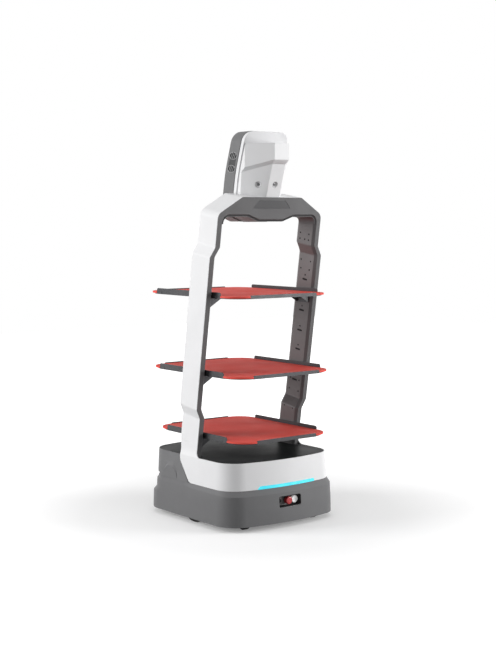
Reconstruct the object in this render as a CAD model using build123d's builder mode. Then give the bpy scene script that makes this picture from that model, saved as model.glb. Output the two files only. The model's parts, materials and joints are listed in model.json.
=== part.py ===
from build123d import *
import os
from math import atan2, cos, degrees, radians, sin, tan

os.makedirs("parts", exist_ok=True)

# All sizes are in millimetres. X points to the right seen from the front, the front faces -Y,
# Z points up, the floor is Z = 0 and Y = 0 is halfway between the foremost and rearmost tray.

# Wheeled base
base_setback = 10.5          # the base reference lies this far in front of the overall middle
base_corner = 84.0           # plan corner radius of the base
side_bow = 3.0               # the sides of the base bulge this much from corner to corner
end_bow = 34.0               # and its front and rear this much
rear_extra = 8.0             # the rear lies this much further from the reference than the front
skirt_bottom = 18.5
skirt_waist = 72.0
shoulder_bottom = 121.0
shoulder_top = 138.8
band_bottom = 139.2
deck_rim = 231.4
skirt_half_width = 245.0
waist_half_width = 244.2
shoulder_half_width = 243.0
band_half_width = 236.5
rim_half_width = 233.0
skirt_front = 271.0          # foremost point of the skirt's lower edge, from the base reference
waist_front = 269.8
shoulder_front = 267.0
band_front = 255.0
rim_front = 249.0
moulding_wall = 3.0
seat_gap = 0.3               # visible parting gap between neighbouring covers
fit_gap = 0.2                # room between the plates and the covers around them
deck_sink = 1.0
deck_thickness = 3.0
groove_low = 134.4
groove_high = 150.0
groove_depth = 5.5
groove_start = 184.0         # the rear groove begins this far behind the base reference

# Leaning arch
lean = 8.5
arch_front = 40.0            # arch front plane, ahead of the base reference at the deck rim
arch_depth = 102.0
crown_half_width = 127.7
crown_height = 1120.0
corner_height = 1061.8
upper_half_width = 224.5
middle_half_width = 243.5
lower_half_width = 227.0
upper_kink_top = 950.9
upper_kink_low = 918.4
lower_kink_top = 397.6
lower_kink_low = 365.1
leg_thickness = 24.6
beam_underside = 1055.0
belly_low = 1038.2
belly_half_width = 52.6
belly_shoulder = 100.0
arch_corner_radius = 28.0
kink_radius = 14.0
opening_corner_radius = 22.0
belly_radius = 20.0
shell_wall = 3.0
bezel_face = 3.0
bezel_lip = 9.0
bezel_bevel = 8.0
rear_lip = 17.0
rear_bevel = 11.0
panel_thickness = 2.0
panel_top = 1030.0
frame_front = 20.0
frame_rear = 82.0
frame_wall = 3.0
foot_seam = 271.0
foot_flare_top = 262.0
foot_fillet = 20.0

# Trays
tray_heights = {"top": 790.8, "middle": 523.8, "bottom": 304.0}
tray_setbacks = {"top": 18.1, "middle": 1.8, "bottom": -9.3}
wide_tray = (215.0, 188.0, 262.8, 144.0)     # lip face, lip half length, end face, end half length
narrow_tray = (200.4, 175.8, 253.2, 129.9)
tray_sizes = {"top": wide_tray, "middle": wide_tray, "bottom": narrow_tray}
tray_corner = 71.0
mat_thickness = 6.0
pan_thickness = 3.0
lip_thickness = 3.0
lip_rise = 12.0
end_rise = 3.1
pan_inset = 7.0              # the pan stays this far inside the mat at the four corners
bracket_reach = 49.0
bracket_drop = 31.0
bracket_length = 62.0
bracket_sheet = 2.5
bracket_start = 18.0

# Head
head_half_width = 96.0
head_corner = 36.0
head_top = 1344.0
display_thickness = 56.0
front_shell_depth = 15.0
front_shell_half_width = 94.0
nose_half_width = 28.3
nose_side = 89.6
visor_half_width = 31.0
visor_front = 219.3          # ahead of the base reference
visor_top = 1301.0
visor_lip = 1246.0
camera_radius = 11.5
camera_sink = 2.6            # the camera windows lie this far below their facets
nose_front = -173.6          # front facet of the lower housing at this height, from the base reference
nose_front_height = 1131.0
nose_front_slope = -0.3
nose_flank = -107.8          # where its flanks end on the outside, at the height below
nose_flank_height = 1145.0
nose_flank_slope = -0.074
visor_flank = -130.6
visor_slope = 0.28           # fall of the visor's underside towards the back
visor_step = 10.0            # depth of the slanted step between visor and lower housing

# Controls
recess_centre = (1.0, 89.3)
recess_size = (96.0, 39.0)
recess_depth = 26.0          # measured from the skirt's face at the middle
panel_sink = 2.5             # the panel's front edge lies this far inside the skirt's face
recess_corner = 8.0
panel_wall = 2.0
button_pitch = 31.5
e_stop_radius = 13.5
power_radius = 12.5
key_radius = 7.0
stop_sink = 4.5              # the stop button's face lies this far inside the skirt's face
stop_length = 15.0
stop_travel = 5.0
power_length = 8.0
power_travel = 3.0
key_rise = 6.0

# Running gear
drive_radius = 80.0
drive_width = 44.0
drive_centre_x = 198.0
drive_centre_y = -8.0        # from the base reference
tyre_section = 13.0
axle_radius = 8.0
running_clearance = 0.08
arm_thickness = 8.0
arm_inner_face = 160.0
arm_pivot = (70.0, 100.0)
pivot_radius = 6.0
spring_offset = -78.0
spring_x = 162.0
spring_radius = 8.5
spring_wire = 3.0
spring_turns = 7
caster_x = 150.0
caster_y = 185.0
caster_trail = 20.0
caster_wheel_radius = 25.0
caster_wheel_width = 24.0
caster_pin_radius = 4.0
fork_inner_gap = 0.6
fork_cheek = 3.0
chassis_low = 72.0
chassis_thickness = 5.0
support_thickness = 5.0
swivel_radius = 6.0

base_y = -base_setback
arch_y = base_y - arch_front
lean_cos = cos(radians(lean))
lean_sin = sin(radians(lean))
lean_tan = tan(radians(lean))
chassis_top = chassis_low + chassis_thickness
deck_top = deck_rim - deck_sink
support_top = deck_top - deck_thickness


def along(height):
    """Distance up the leaning arch for a height on its front plane."""
    return (height - deck_rim) / lean_cos


def arch_plane(depth):
    """Plane parallel to the arch front, depth behind it."""
    return Plane(
        origin=(0, arch_y + depth * lean_cos, deck_rim + depth * lean_sin),
        x_dir=(1, 0, 0),
        z_dir=(0, -lean_cos, -lean_sin),
    )


def side_plane(x):
    """Plane across the leg at x: local x is depth into the arch, local y is up the lean."""
    return Plane(origin=(x, arch_y, deck_rim), x_dir=(0, lean_cos, lean_sin), z_dir=(1, 0, 0))


def arch_face_y(height, depth=0.0):
    """Y of the arch at a height, depth measured square to the front plane."""
    return arch_y - (height - deck_rim) * lean_tan + depth / lean_cos


def mirrored(points):
    """Closed outline from its right half, listed bottom to top."""
    return points + [(-x, y) for x, y in reversed(points)]


def rounded(points, radii):
    """Face from a closed outline, each corner rounded with the radius listed beside it."""
    with BuildSketch() as face:
        with BuildLine():
            Polyline(*points, close=True)
        make_face()
        for radius in sorted(set(radii)):
            if radius > 0:
                wanted = [p for p, r in zip(points, radii) if r == radius]
                corners = [
                    v
                    for v in face.vertices()
                    if any(abs(v.X - p[0]) < 0.01 and abs(v.Y - p[1]) < 0.01 for p in wanted)
                ]
                fillet(corners, radius)
    return face.sketch


arch_low = -60.0
arch_points = [
    (lower_half_width, arch_low),
    (lower_half_width, along(lower_kink_low)),
    (middle_half_width, along(lower_kink_top)),
    (middle_half_width, along(upper_kink_low)),
    (upper_half_width, along(upper_kink_top)),
    (upper_half_width, along(corner_height)),
    (crown_half_width, along(crown_height)),
]
arch_radii = [0, kink_radius, kink_radius, kink_radius, kink_radius, arch_corner_radius, 4.0]
arch_outer = rounded(mirrored(arch_points), arch_radii + arch_radii[::-1])


def opening_face(clear, drop=0.0):
    """The arch's opening, grown by clear, with its top edge lowered by drop."""
    points = [
        (lower_half_width - leg_thickness, arch_low - 40),
        (lower_half_width - leg_thickness, along(lower_kink_low)),
        (middle_half_width - leg_thickness, along(lower_kink_top)),
        (middle_half_width - leg_thickness, along(upper_kink_low)),
        (upper_half_width - leg_thickness, along(upper_kink_top)),
        (upper_half_width - leg_thickness, along(beam_underside) - drop),
        (belly_shoulder, along(beam_underside) - drop),
        (belly_half_width, along(belly_low) - drop),
    ]
    radii = [0, kink_radius, kink_radius, kink_radius, kink_radius]
    radii += [opening_corner_radius, belly_radius, belly_radius]
    face = rounded(mirrored(points), radii + radii[::-1])
    if clear:
        with BuildSketch() as grown:
            add(face)
            offset(amount=clear)
        face = grown.sketch
    return face


def underside_face(clear):
    """Upper part of the opening in the upright XZ plane, grown by clear."""
    points = [
        (upper_half_width - leg_thickness, panel_top - 60),
        (upper_half_width - leg_thickness, beam_underside),
        (belly_shoulder, beam_underside),
        (belly_half_width, belly_low),
    ]
    radii = [0, opening_corner_radius, belly_radius, belly_radius]
    face = rounded(mirrored(points), radii + radii[::-1])
    if clear:
        with BuildSketch() as grown:
            add(face)
            offset(amount=clear)
        face = grown.sketch
    return face


def ring_face(outer_inset, inner_clear, drop=0.0):
    """Arch-shaped face between the outside, inset, and the opening, grown."""
    with BuildSketch() as ring:
        add(arch_outer)
        if outer_inset:
            offset(amount=-outer_inset, mode=Mode.REPLACE)
        add(opening_face(inner_clear, drop), mode=Mode.SUBTRACT)
    return ring.sketch


def outer_ring(inset_from, inset_to):
    """Band of the arch outline between two insets."""
    with BuildSketch() as inner:
        add(arch_outer)
        offset(amount=-inset_to, mode=Mode.REPLACE)
    with BuildSketch() as ring:
        add(arch_outer)
        if inset_from:
            offset(amount=-inset_from, mode=Mode.REPLACE)
        add(inner.sketch, mode=Mode.SUBTRACT)
    return ring.sketch


def plan_outline(half, front, rear, inset):
    """Base outline about the base reference: four bowed sides with rounded corners."""
    x = half - inset - side_bow
    y_front = -(front - inset - end_bow)
    y_rear = rear - inset - end_bow
    y_middle = (y_front + y_rear) / 2
    with BuildSketch() as face:
        with BuildLine():
            ThreePointArc((x, y_front), (x + side_bow, y_middle), (x, y_rear))
            ThreePointArc((x, y_rear), (0, y_rear + end_bow), (-x, y_rear))
            ThreePointArc((-x, y_rear), (-x - side_bow, y_middle), (-x, y_front))
            ThreePointArc((-x, y_front), (0, y_front - end_bow), (x, y_front))
        make_face()
        fillet(face.vertices(), base_corner - inset)
    return face.sketch


def base_levels(*levels):
    """Height, half width, front and rear distance of each listed outline."""
    return [(height, half, front, front + rear_extra) for height, half, front in levels]


skirt_levels = base_levels(
    (skirt_bottom, skirt_half_width, skirt_front),
    (skirt_waist, waist_half_width, waist_front),
    (shoulder_bottom, shoulder_half_width, shoulder_front),
    (shoulder_top, band_half_width, band_front),
)
band_levels = base_levels(
    (band_bottom, band_half_width, band_front),
    (deck_rim, rim_half_width, rim_front),
)


def base_block(levels, inset):
    """Solid through the base outlines at the listed heights."""
    with BuildPart() as block:
        for height, half, front, rear in levels:
            with BuildSketch(Plane.XY.offset(height)):
                with Locations((0, base_y)):
                    add(plan_outline(half, front, rear, inset))
        loft(ruled=True)
    return block.part


def level_at(levels, height):
    """Base outline sizes at a height between two listed levels."""
    for low, high in zip(levels, levels[1:]):
        if low[0] <= height <= high[0]:
            share = (height - low[0]) / (high[0] - low[0])
            return [a + (b - a) * share for a, b in zip(low[1:], high[1:])]
    return list(levels[-1][1:])


skirt_face = level_at(skirt_levels, recess_centre[1])[1]


def upright_prism(points, radii, half_width):
    """YZ outline about the base reference, extruded both ways along X."""
    with BuildPart() as prism:
        with BuildSketch(Plane.YZ):
            with Locations((base_y, 0)):
                add(rounded(points, radii))
        extrude(amount=half_width, both=True)
    return prism.part


def white_outline(grow):
    """Side view of the white band and its two feet, about the base reference."""
    top = foot_seam + 20 * grow + 20
    seam_front = arch_face_y(top, bezel_face) - base_y - grow
    seam_rear = arch_face_y(top, arch_depth) - base_y + grow
    ledge_front = arch_face_y(deck_rim, bezel_face) - base_y - grow
    points = [
        (-300, band_bottom - 20 * grow),
        (-5.8 + grow, band_bottom - 20 * grow),
        (52.0 + grow, 213.0),
        (52.0 + grow, deck_rim),
        (seam_rear, top),
        (seam_front, top),
        (ledge_front, deck_rim + grow),
        (-300, deck_rim + grow),
    ]
    radii = [0, 25.0, 30.0, 0, 0, 0, foot_fillet, 0]
    return points, radii


# Welded base frame: chassis plate with its wheel wells, four columns, pivot ears and pins

with BuildPart() as base_frame:
    with BuildSketch(Plane.XY.offset(chassis_low)):
        with Locations((0, base_y)):
            sizes = level_at(skirt_levels, chassis_top)
            add(plan_outline(*sizes, moulding_wall + fit_gap))
        well_start = arm_inner_face - 1.5
        well_width = drive_centre_x + drive_width / 2 + 6 - well_start
        with Locations(
            (well_start + well_width / 2, base_y + drive_centre_y),
            (-well_start - well_width / 2, base_y + drive_centre_y),
        ):
            Rectangle(well_width, 2 * drive_radius + 26, mode=Mode.SUBTRACT)
        with Locations((recess_centre[0], base_y - skirt_face)):
            Rectangle(recess_size[0] + 14, 2 * (recess_depth + 40), mode=Mode.SUBTRACT)
    extrude(amount=chassis_thickness)
    with BuildSketch(Plane.XY.offset(chassis_top)):
        with Locations((0, base_y)):
            with GridLocations(220, 210, 2, 2):
                Rectangle(30, 30)
                Rectangle(24, 24, mode=Mode.SUBTRACT)
    extrude(amount=support_top - support_thickness - chassis_top)
    for side in (-1, 1):
        with BuildSketch(Plane.YZ.offset(side * (arm_inner_face - 9.5))):
            with Locations((base_y + arm_pivot[0] + 22, (chassis_top + arm_pivot[1] + 12) / 2)):
                Rectangle(30, arm_pivot[1] + 12 - chassis_top)
            with Locations((base_y + arm_pivot[0], (chassis_top + arm_pivot[1] + 12) / 2)):
                Rectangle(36, arm_pivot[1] + 12 - chassis_top)
        extrude(amount=side * 8)
        with BuildSketch(Plane.YZ.offset(side * (arm_inner_face - 2))):
            with Locations((base_y + arm_pivot[0], arm_pivot[1])):
                Circle(pivot_radius)
        extrude(amount=side * (arm_thickness + 4))
base_frame.part.label = "base_frame"
export_step(base_frame.part, "parts/base_frame.step")

# Deck support plate on the columns

with BuildPart() as deck_support:
    with BuildSketch(Plane.XY.offset(support_top - support_thickness)):
        with Locations((0, base_y)):
            sizes = level_at(band_levels, support_top)
            add(plan_outline(*sizes, moulding_wall + fit_gap))
            Rectangle(180, 300, mode=Mode.SUBTRACT)
    extrude(amount=support_thickness)
deck_support.part.label = "deck_support"
export_step(deck_support.part, "parts/deck_support.step")

# Lower skirt with its shoulder and the control recess cut-out

skirt_outside = base_block(skirt_levels, 0.0)
skirt_inside = base_block(skirt_levels, moulding_wall)
with BuildPart() as lower_shell:
    add(skirt_outside)
    add(skirt_inside, mode=Mode.SUBTRACT)
    with BuildSketch(Plane.XZ.offset(-base_y)):
        with Locations(recess_centre):
            RectangleRounded(*recess_size, recess_corner)
    extrude(amount=skirt_front + 20, mode=Mode.SUBTRACT)
lower_shell.part.label = "lower_shell"
export_step(lower_shell.part, "parts/lower_shell.step")

# White front band with the two flared leg feet

band_outside = base_block(band_levels, 0.0)
band_inside = base_block(band_levels, moulding_wall)
strip_low = band_bottom
strip_high = 149.6
strip_left = -123.5
strip_right = 128.5
strip_slant_left = 10.0
strip_slant_right = 3.0


def strip_prism(grow):
    """Region of the light strip on the band's lower front edge."""
    points = [
        (strip_left - grow, strip_low - 5),
        (strip_right + grow, strip_low - 5),
        (strip_right + grow, strip_low),
        (strip_right - strip_slant_right + grow, strip_high + grow),
        (strip_left + strip_slant_left - grow, strip_high + grow),
        (strip_left - grow, strip_low),
    ]
    with BuildPart() as prism:
        with BuildSketch(Plane.XZ.offset(-base_y + band_front - 30)):
            add(rounded(points, [0] * 6))
        extrude(amount=60)
    return prism.part


def flare_prism(side):
    """Leg foot wall: straight above, curving out to the band's face at the rim."""
    top = foot_seam + 40
    rim_x = rim_half_width
    with BuildPart() as wall:
        with BuildSketch(Plane.XZ.offset(-base_y)):
            with BuildLine():
                outer = Spline(
                    (side * lower_half_width, foot_flare_top),
                    (side * rim_x, deck_rim),
                    tangents=((0, -1), (side * 0.35, -1)),
                )
                down = Line(outer @ 1, (side * (rim_x - moulding_wall), deck_rim))
                inner = Spline(
                    down @ 1,
                    (side * (lower_half_width - moulding_wall), foot_flare_top),
                    tangents=((side * -0.35, 1), (0, 1)),
                )
                up = Line(inner @ 1, (side * (lower_half_width - moulding_wall), top))
                across = Line(up @ 1, (side * lower_half_width, top))
                Line(across @ 1, outer @ 0)
            make_face()
        extrude(amount=120, both=True)
    return wall.part


flare_right = flare_prism(1)
flare_left = flare_prism(-1)
white_side_view = upright_prism(*white_outline(0.0), 300)
strip_cut = strip_prism(seat_gap)
with BuildPart() as seam_block:
    with BuildSketch(arch_plane(-100)):
        with Locations((0, along(foot_seam) + 100)):
            Rectangle(600, 200)
    extrude(amount=-400)
with BuildPart() as front_band:
    add(band_outside)
    add(band_inside, mode=Mode.SUBTRACT)
    add(flare_right)
    add(flare_left)
    add(white_side_view, mode=Mode.INTERSECT)
    add(strip_cut, mode=Mode.SUBTRACT)
    add(seam_block.part, mode=Mode.SUBTRACT)
front_band.part.label = "front_band"
export_step(front_band.part, "parts/front_band.step")

# Light strip let into the band's lower front edge

strip_body = strip_prism(0.0)
with BuildPart() as light_strip:
    add(band_outside)
    add(band_inside, mode=Mode.SUBTRACT)
    add(strip_body, mode=Mode.INTERSECT)
light_strip.part.label = "light_strip"
export_step(light_strip.part, "parts/light_strip.step")

# Grey rear cover with the arched side relief and the rear groove

cover_cut = upright_prism(*white_outline(seat_gap), 300)
with BuildPart() as cover_limit:
    with BuildSketch(Plane.YZ):
        with Locations((base_y + 150, (band_bottom + deck_rim) / 2)):
            Rectangle(420, deck_rim - band_bottom)
    extrude(amount=300, both=True)
groove_outer = base_block(band_levels, -5.0)
groove_inner = base_block(band_levels, groove_depth)
groove_back = base_block(band_levels, groove_depth + moulding_wall)
with BuildPart() as groove_region:
    with BuildSketch(Plane.XY.offset(groove_low - 5)):
        with Locations((0, base_y + groove_start + 60)):
            Rectangle(560, 120)
    extrude(amount=groove_high - groove_low + 5)
with BuildPart() as groove_wall:
    add(band_outside)
    add(groove_back, mode=Mode.SUBTRACT)
    with BuildSketch(Plane.XY.offset(band_bottom)):
        with Locations((0, base_y + groove_start + 60)):
            Rectangle(560, 120)
    extrude(amount=groove_high + moulding_wall - band_bottom, mode=Mode.INTERSECT)
with BuildPart() as groove_cut:
    add(groove_outer)
    add(groove_inner, mode=Mode.SUBTRACT)
    add(groove_region.part, mode=Mode.INTERSECT)
relief_points = [(61.0, 100.0), (153.0, 100.0), (153.0, 172.0), (107.0, 218.0), (61.0, 172.0)]
relief_crest = [(65.0, 100.0), (149.0, 100.0), (149.0, 160.0), (107.0, 194.0), (65.0, 160.0)]
relief_foot = 142.0
relief_rise = 5.5
with BuildPart() as side_reliefs:
    for side in (-1, 1):
        with BuildSketch(Plane.YZ.offset(side * (rim_half_width - 2.5))):
            with Locations((base_y, 0)):
                add(rounded(relief_points, [0, 0, 28.0, 34.0, 28.0]))
        with BuildSketch(Plane.YZ.offset(side * (rim_half_width + relief_rise + 1.0))):
            with Locations((base_y, 0)):
                add(rounded(relief_crest, [0, 0, 26.0, 36.0, 26.0]))
        loft(ruled=True)
    fade = mirrored([
        (band_half_width - 1.0, relief_foot - 30),
        (band_half_width - 0.2, relief_foot),
        (rim_half_width + relief_rise + 1.0, relief_crest[3][1]),
        (rim_half_width + relief_rise + 1.0, deck_rim),
    ])
    with BuildSketch(Plane.XZ.offset(-base_y)):
        add(rounded(fade, [0] * 8))
    extrude(amount=300, both=True, mode=Mode.INTERSECT)
with BuildPart() as rear_cover:
    add(band_outside)
    add(band_inside, mode=Mode.SUBTRACT)
    add(groove_wall.part)
    add(side_reliefs.part)
    add(groove_back, mode=Mode.SUBTRACT)
    add(cover_limit.part, mode=Mode.INTERSECT)
    add(cover_cut, mode=Mode.SUBTRACT)
    add(groove_cut.part, mode=Mode.SUBTRACT)
rear_cover.part.label = "rear_cover"
export_step(rear_cover.part, "parts/rear_cover.step")

# Black deck over the base, notched round the leg feet

foot_outer = rim_half_width
foot_inner = lower_half_width - leg_thickness - 1.0
foot_front = arch_face_y(deck_rim) - 1.5
foot_rear = arch_face_y(deck_rim, arch_depth) + 1.5
with BuildPart() as top_deck:
    with BuildSketch(Plane.XY.offset(support_top)):
        with Locations((0, base_y)):
            sizes = level_at(band_levels, deck_top)
            add(plan_outline(*sizes, moulding_wall + fit_gap))
        for side in (-1, 1):
            with Locations((side * (foot_outer + foot_inner) / 2, (foot_front + foot_rear) / 2)):
                Rectangle(foot_outer - foot_inner, foot_rear - foot_front, mode=Mode.SUBTRACT)
    extrude(amount=deck_thickness)
top_deck.part.label = "top_deck"
export_step(top_deck.part, "parts/top_deck.step")

# Control panel: the walls and floor of the recess

panel_front_y = base_y - skirt_face + panel_sink
panel_back_y = base_y - skirt_face + recess_depth
panel_depth = panel_back_y - panel_front_y
key_x = recess_centre[0] - button_pitch
stop_x = recess_centre[0]
power_x = recess_centre[0] + button_pitch
with BuildPart() as control_panel:
    with BuildSketch(Plane.XZ.offset(-panel_front_y)):
        with Locations(recess_centre):
            RectangleRounded(recess_size[0] - 0.6, recess_size[1] - 0.6, recess_corner - 0.3)
    extrude(amount=-(panel_depth + panel_wall))
    with BuildSketch(Plane.XZ.offset(-panel_front_y)):
        with Locations(recess_centre):
            RectangleRounded(
                recess_size[0] - 0.6 - 2 * panel_wall,
                recess_size[1] - 0.6 - 2 * panel_wall,
                recess_corner - panel_wall,
            )
    extrude(amount=-panel_depth, mode=Mode.SUBTRACT)
    with BuildSketch(Plane.XZ.offset(-panel_back_y)):
        with Locations((key_x, recess_centre[1])):
            Circle(key_radius - 2.0)
        with Locations((stop_x, recess_centre[1])):
            Circle(8.5)
        with Locations((power_x, recess_centre[1])):
            Circle(power_radius - 3.0)
    extrude(amount=-panel_wall, mode=Mode.SUBTRACT)
control_panel.part.label = "control_panel"
export_step(control_panel.part, "parts/control_panel.step")



def bar_along_y(x, z, front, back, radius, mode=Mode.ADD):
    """Round bar between two Y positions, added to the open sub-part."""
    with BuildSketch(Plane.XZ.offset(-front)) as disc:
        with Locations((x, z)):
            Circle(radius)
    extrude(disc.sketch, amount=front - back, mode=mode)


def bar_along_x(y, z, start, end, radius, mode=Mode.ADD):
    """Round bar between two X positions, added to the open sub-part."""
    with BuildSketch(Plane.YZ.offset(start)) as disc:
        with Locations((y, z)):
            Circle(radius)
    extrude(disc.sketch, amount=end - start, mode=mode)


# Emergency stop: fixed collar with its switch block, and the sliding mushroom head

stem_radius = 5.0
collar_radius = 11.0
collar_length = 9.0
button_z = recess_centre[1]
with BuildPart() as e_stop_collar:
    bar_along_y(stop_x, button_z, panel_back_y - collar_length, panel_back_y, collar_radius)
    bar_along_y(stop_x, button_z, panel_back_y, panel_back_y + 12, 8.2)
    with BuildSketch(Plane.XZ.offset(-(panel_back_y + 12))):
        with Locations((stop_x, button_z)):
            Rectangle(24, 24)
    extrude(amount=-26)
    bar_along_y(
        stop_x,
        button_z,
        panel_back_y - collar_length,
        panel_back_y + 13,
        stem_radius + running_clearance,
        Mode.SUBTRACT,
    )
e_stop_collar.part.label = "e_stop_collar"
export_step(e_stop_collar.part, "parts/e_stop_collar.step")

stop_face_y = base_y - skirt_face + stop_sink
stop_skirt_y = stop_face_y + stop_length
stop_cavity_y = panel_back_y - collar_length - stop_travel - 1.0
with BuildPart() as e_stop_button:
    bar_along_y(stop_x, button_z, stop_face_y, stop_skirt_y, e_stop_radius)
    front_edge = e_stop_button.faces().sort_by(Axis.Y)[0].edges()
    fillet(front_edge, 4.0)
    bar_along_y(
        stop_x, button_z, stop_cavity_y, stop_skirt_y, collar_radius + 0.5, Mode.SUBTRACT
    )
    bar_along_y(stop_x, button_z, stop_cavity_y - 1, panel_back_y + 6, stem_radius)
e_stop_button.part.label = "e_stop_button"
export_step(e_stop_button.part, "parts/e_stop_button.step")

# White power push button and the dark key switch beside the stop

power_neck = power_radius - 3.0 - running_clearance
power_back_y = panel_back_y - power_travel - 0.4
with BuildPart() as power_button:
    bar_along_y(power_x, button_z, power_back_y - power_length, power_back_y, power_radius)
    front_edge = power_button.faces().sort_by(Axis.Y)[0].edges()
    fillet(front_edge, 1.2)
    bar_along_y(power_x, button_z, power_back_y, panel_back_y + 9, power_neck)
power_button.part.label = "power_button"
export_step(power_button.part, "parts/power_button.step")

with BuildPart() as key_switch:
    bar_along_y(key_x, button_z, panel_back_y - key_rise, panel_back_y, key_radius)
    bar_along_y(key_x, button_z, panel_back_y, panel_back_y + 16, key_radius - 2.3)
    with BuildSketch(Plane.XZ.offset(-(panel_back_y - key_rise))):
        with Locations((key_x, button_z)):
            Rectangle(1.6, 7.0)
    extrude(amount=-4, mode=Mode.SUBTRACT)
key_switch.part.label = "key_switch"
export_step(key_switch.part, "parts/key_switch.step")

# Battery pack and main controller on the chassis plate

battery_size = (190.0, 150.0, 82.0)
with BuildPart() as battery_pack:
    with BuildSketch(Plane.XY.offset(chassis_top)):
        with Locations((0, base_y + 60)):
            RectangleRounded(battery_size[0], battery_size[1], 6)
    extrude(amount=battery_size[2])
    with BuildSketch(Plane.XY.offset(chassis_top + battery_size[2])):
        with Locations((0, base_y + 60)):
            with Locations((0, -40), (0, 40)):
                RectangleRounded(90, 16, 5)
    extrude(amount=10)
    with BuildSketch(Plane.XY.offset(chassis_top + battery_size[2])):
        with Locations((0, base_y + 60)):
            with Locations((0, -40), (0, 40)):
                RectangleRounded(66, 8, 3)
    extrude(amount=10, mode=Mode.SUBTRACT)
battery_pack.part.label = "battery_pack"
export_step(battery_pack.part, "parts/battery_pack.step")

controller_fins = 9
with BuildPart() as main_controller:
    with BuildSketch(Plane.XY.offset(chassis_top)):
        with Locations((0, base_y - 95)):
            Rectangle(170, 90)
    extrude(amount=30)
    with BuildSketch(Plane.XY.offset(chassis_top + 30)):
        with Locations((0, base_y - 95)):
            with GridLocations(18, 0, controller_fins, 1):
                Rectangle(4, 84)
    extrude(amount=12)
main_controller.part.label = "main_controller"
export_step(main_controller.part, "parts/main_controller.step")

# Leaning arch: tubular inner frame standing on the deck support plate

with BuildPart() as floor_limit:
    with BuildSketch(Plane.XY.offset(support_top)):
        with Locations((0, arch_y)):
            Rectangle(700, 700)
    extrude(amount=1200)
with BuildPart() as deck_limit:
    with BuildSketch(Plane.XY.offset(deck_top)):
        with Locations((0, arch_y)):
            Rectangle(700, 700)
    extrude(amount=1200)

beam_drop = (frame_front + frame_rear) / 2 * lean_tan
with BuildPart() as inner_frame:
    with BuildSketch(arch_plane(frame_front)):
        add(ring_face(shell_wall, panel_thickness, beam_drop - 12.0))
    extrude(amount=-(frame_rear - frame_front))
    with BuildSketch(arch_plane(frame_front + frame_wall)):
        add(ring_face(shell_wall + frame_wall, panel_thickness + frame_wall, beam_drop - 12.0))
    extrude(amount=-(frame_rear - frame_front - 2 * frame_wall), mode=Mode.SUBTRACT)
    add(floor_limit.part, mode=Mode.INTERSECT)
inner_frame.part.label = "inner_frame"
export_step(inner_frame.part, "parts/inner_frame.step")

# White leg shells and the beam's top cover

shell_ring = outer_ring(0.0, shell_wall)
shell_depth = arch_depth - bezel_face
seam_s = along(foot_seam)
for side, name in ((-1, "leg_shell_left"), (1, "leg_shell_right")):
    with BuildPart() as leg_shell:
        with BuildSketch(arch_plane(bezel_face)):
            with BuildSketch(mode=Mode.PRIVATE) as leg_part:
                add(shell_ring)
                with Locations((side * (crown_half_width + 100), seam_s + 500 + seat_gap)):
                    Rectangle(200, 1000, mode=Mode.INTERSECT)
            add(leg_part.sketch)
        extrude(amount=-shell_depth)
    leg_shell.part.label = name
    export_step(leg_shell.part, "parts/" + name + ".step")

with BuildPart() as beam_cover:
    with BuildSketch(arch_plane(bezel_face)):
        with BuildSketch(mode=Mode.PRIVATE) as crown_part:
            add(shell_ring)
            with Locations((0, along(crown_height))):
                Rectangle(2 * crown_half_width, 60, mode=Mode.INTERSECT)
        add(crown_part.sketch)
    extrude(amount=-shell_depth)
beam_cover.part.label = "beam_cover"
export_step(beam_cover.part, "parts/beam_cover.step")

# Grey front bezel with its bevelled inner edge, underside wall and nameplate recess

with BuildPart() as underside_wall:
    with BuildSketch(Plane.XZ.offset(-(arch_y + 200))):
        with BuildSketch(mode=Mode.PRIVATE) as wall_face:
            add(underside_face(panel_thickness))
            add(underside_face(0.0), mode=Mode.SUBTRACT)
            with Locations((0, panel_top + 200)):
                Rectangle(600, 400, mode=Mode.INTERSECT)
        add(wall_face.sketch)
    extrude(amount=500)
    with BuildSketch(arch_plane(bezel_face)):
        with Locations((0, along(crown_height))):
            Rectangle(700, 600)
    extrude(amount=-(arch_depth - rear_lip - bezel_face), mode=Mode.INTERSECT)
with BuildPart() as underside_cut:
    with BuildSketch(Plane.XZ.offset(-(arch_y + 200))):
        with BuildSketch(mode=Mode.PRIVATE) as cut_face:
            add(underside_face(0.0))
        add(cut_face.sketch)
    extrude(amount=500)
with BuildPart() as bezel_bevel_cut:
    with BuildSketch(arch_plane(0)):
        add(opening_face(bezel_bevel))
    with BuildSketch(arch_plane(bezel_lip)):
        add(opening_face(0.0))
    loft(ruled=True)

plate_top = 1110.0
plate_bottom = 1082.0
plate_half_top = 57.0
plate_half_bottom = 83.0
plate_recess = 1.6


def nameplate_face(inset):
    """Trapezoid of the nameplate on the arch front plane."""
    points = [
        (plate_half_bottom - 1.6 * inset, along(plate_bottom) + inset),
        (plate_half_top - 0.8 * inset, along(plate_top) - inset),
    ]
    return rounded(mirrored(points), [2.0] * 4)


with BuildPart() as front_bezel:
    with BuildSketch(arch_plane(0)):
        add(ring_face(0.0, 0.0))
    extrude(amount=-bezel_lip)
    with BuildSketch(arch_plane(bezel_face)):
        with Locations((0, along(700))):
            Rectangle(700, 1400)
        add(opening_face(bezel_bevel + bezel_face), mode=Mode.SUBTRACT)
    extrude(amount=-(bezel_lip - bezel_face), mode=Mode.SUBTRACT)
    add(bezel_bevel_cut.part, mode=Mode.SUBTRACT)
    add(underside_wall.part)
    add(underside_cut.part, mode=Mode.SUBTRACT)
    with BuildSketch(arch_plane(0)):
        add(nameplate_face(0.0))
    extrude(amount=-plate_recess, mode=Mode.SUBTRACT)
    add(deck_limit.part, mode=Mode.INTERSECT)
    add(front_band.part, mode=Mode.SUBTRACT)
front_bezel.part.label = "front_bezel"
export_step(front_bezel.part, "parts/front_bezel.step")

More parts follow.
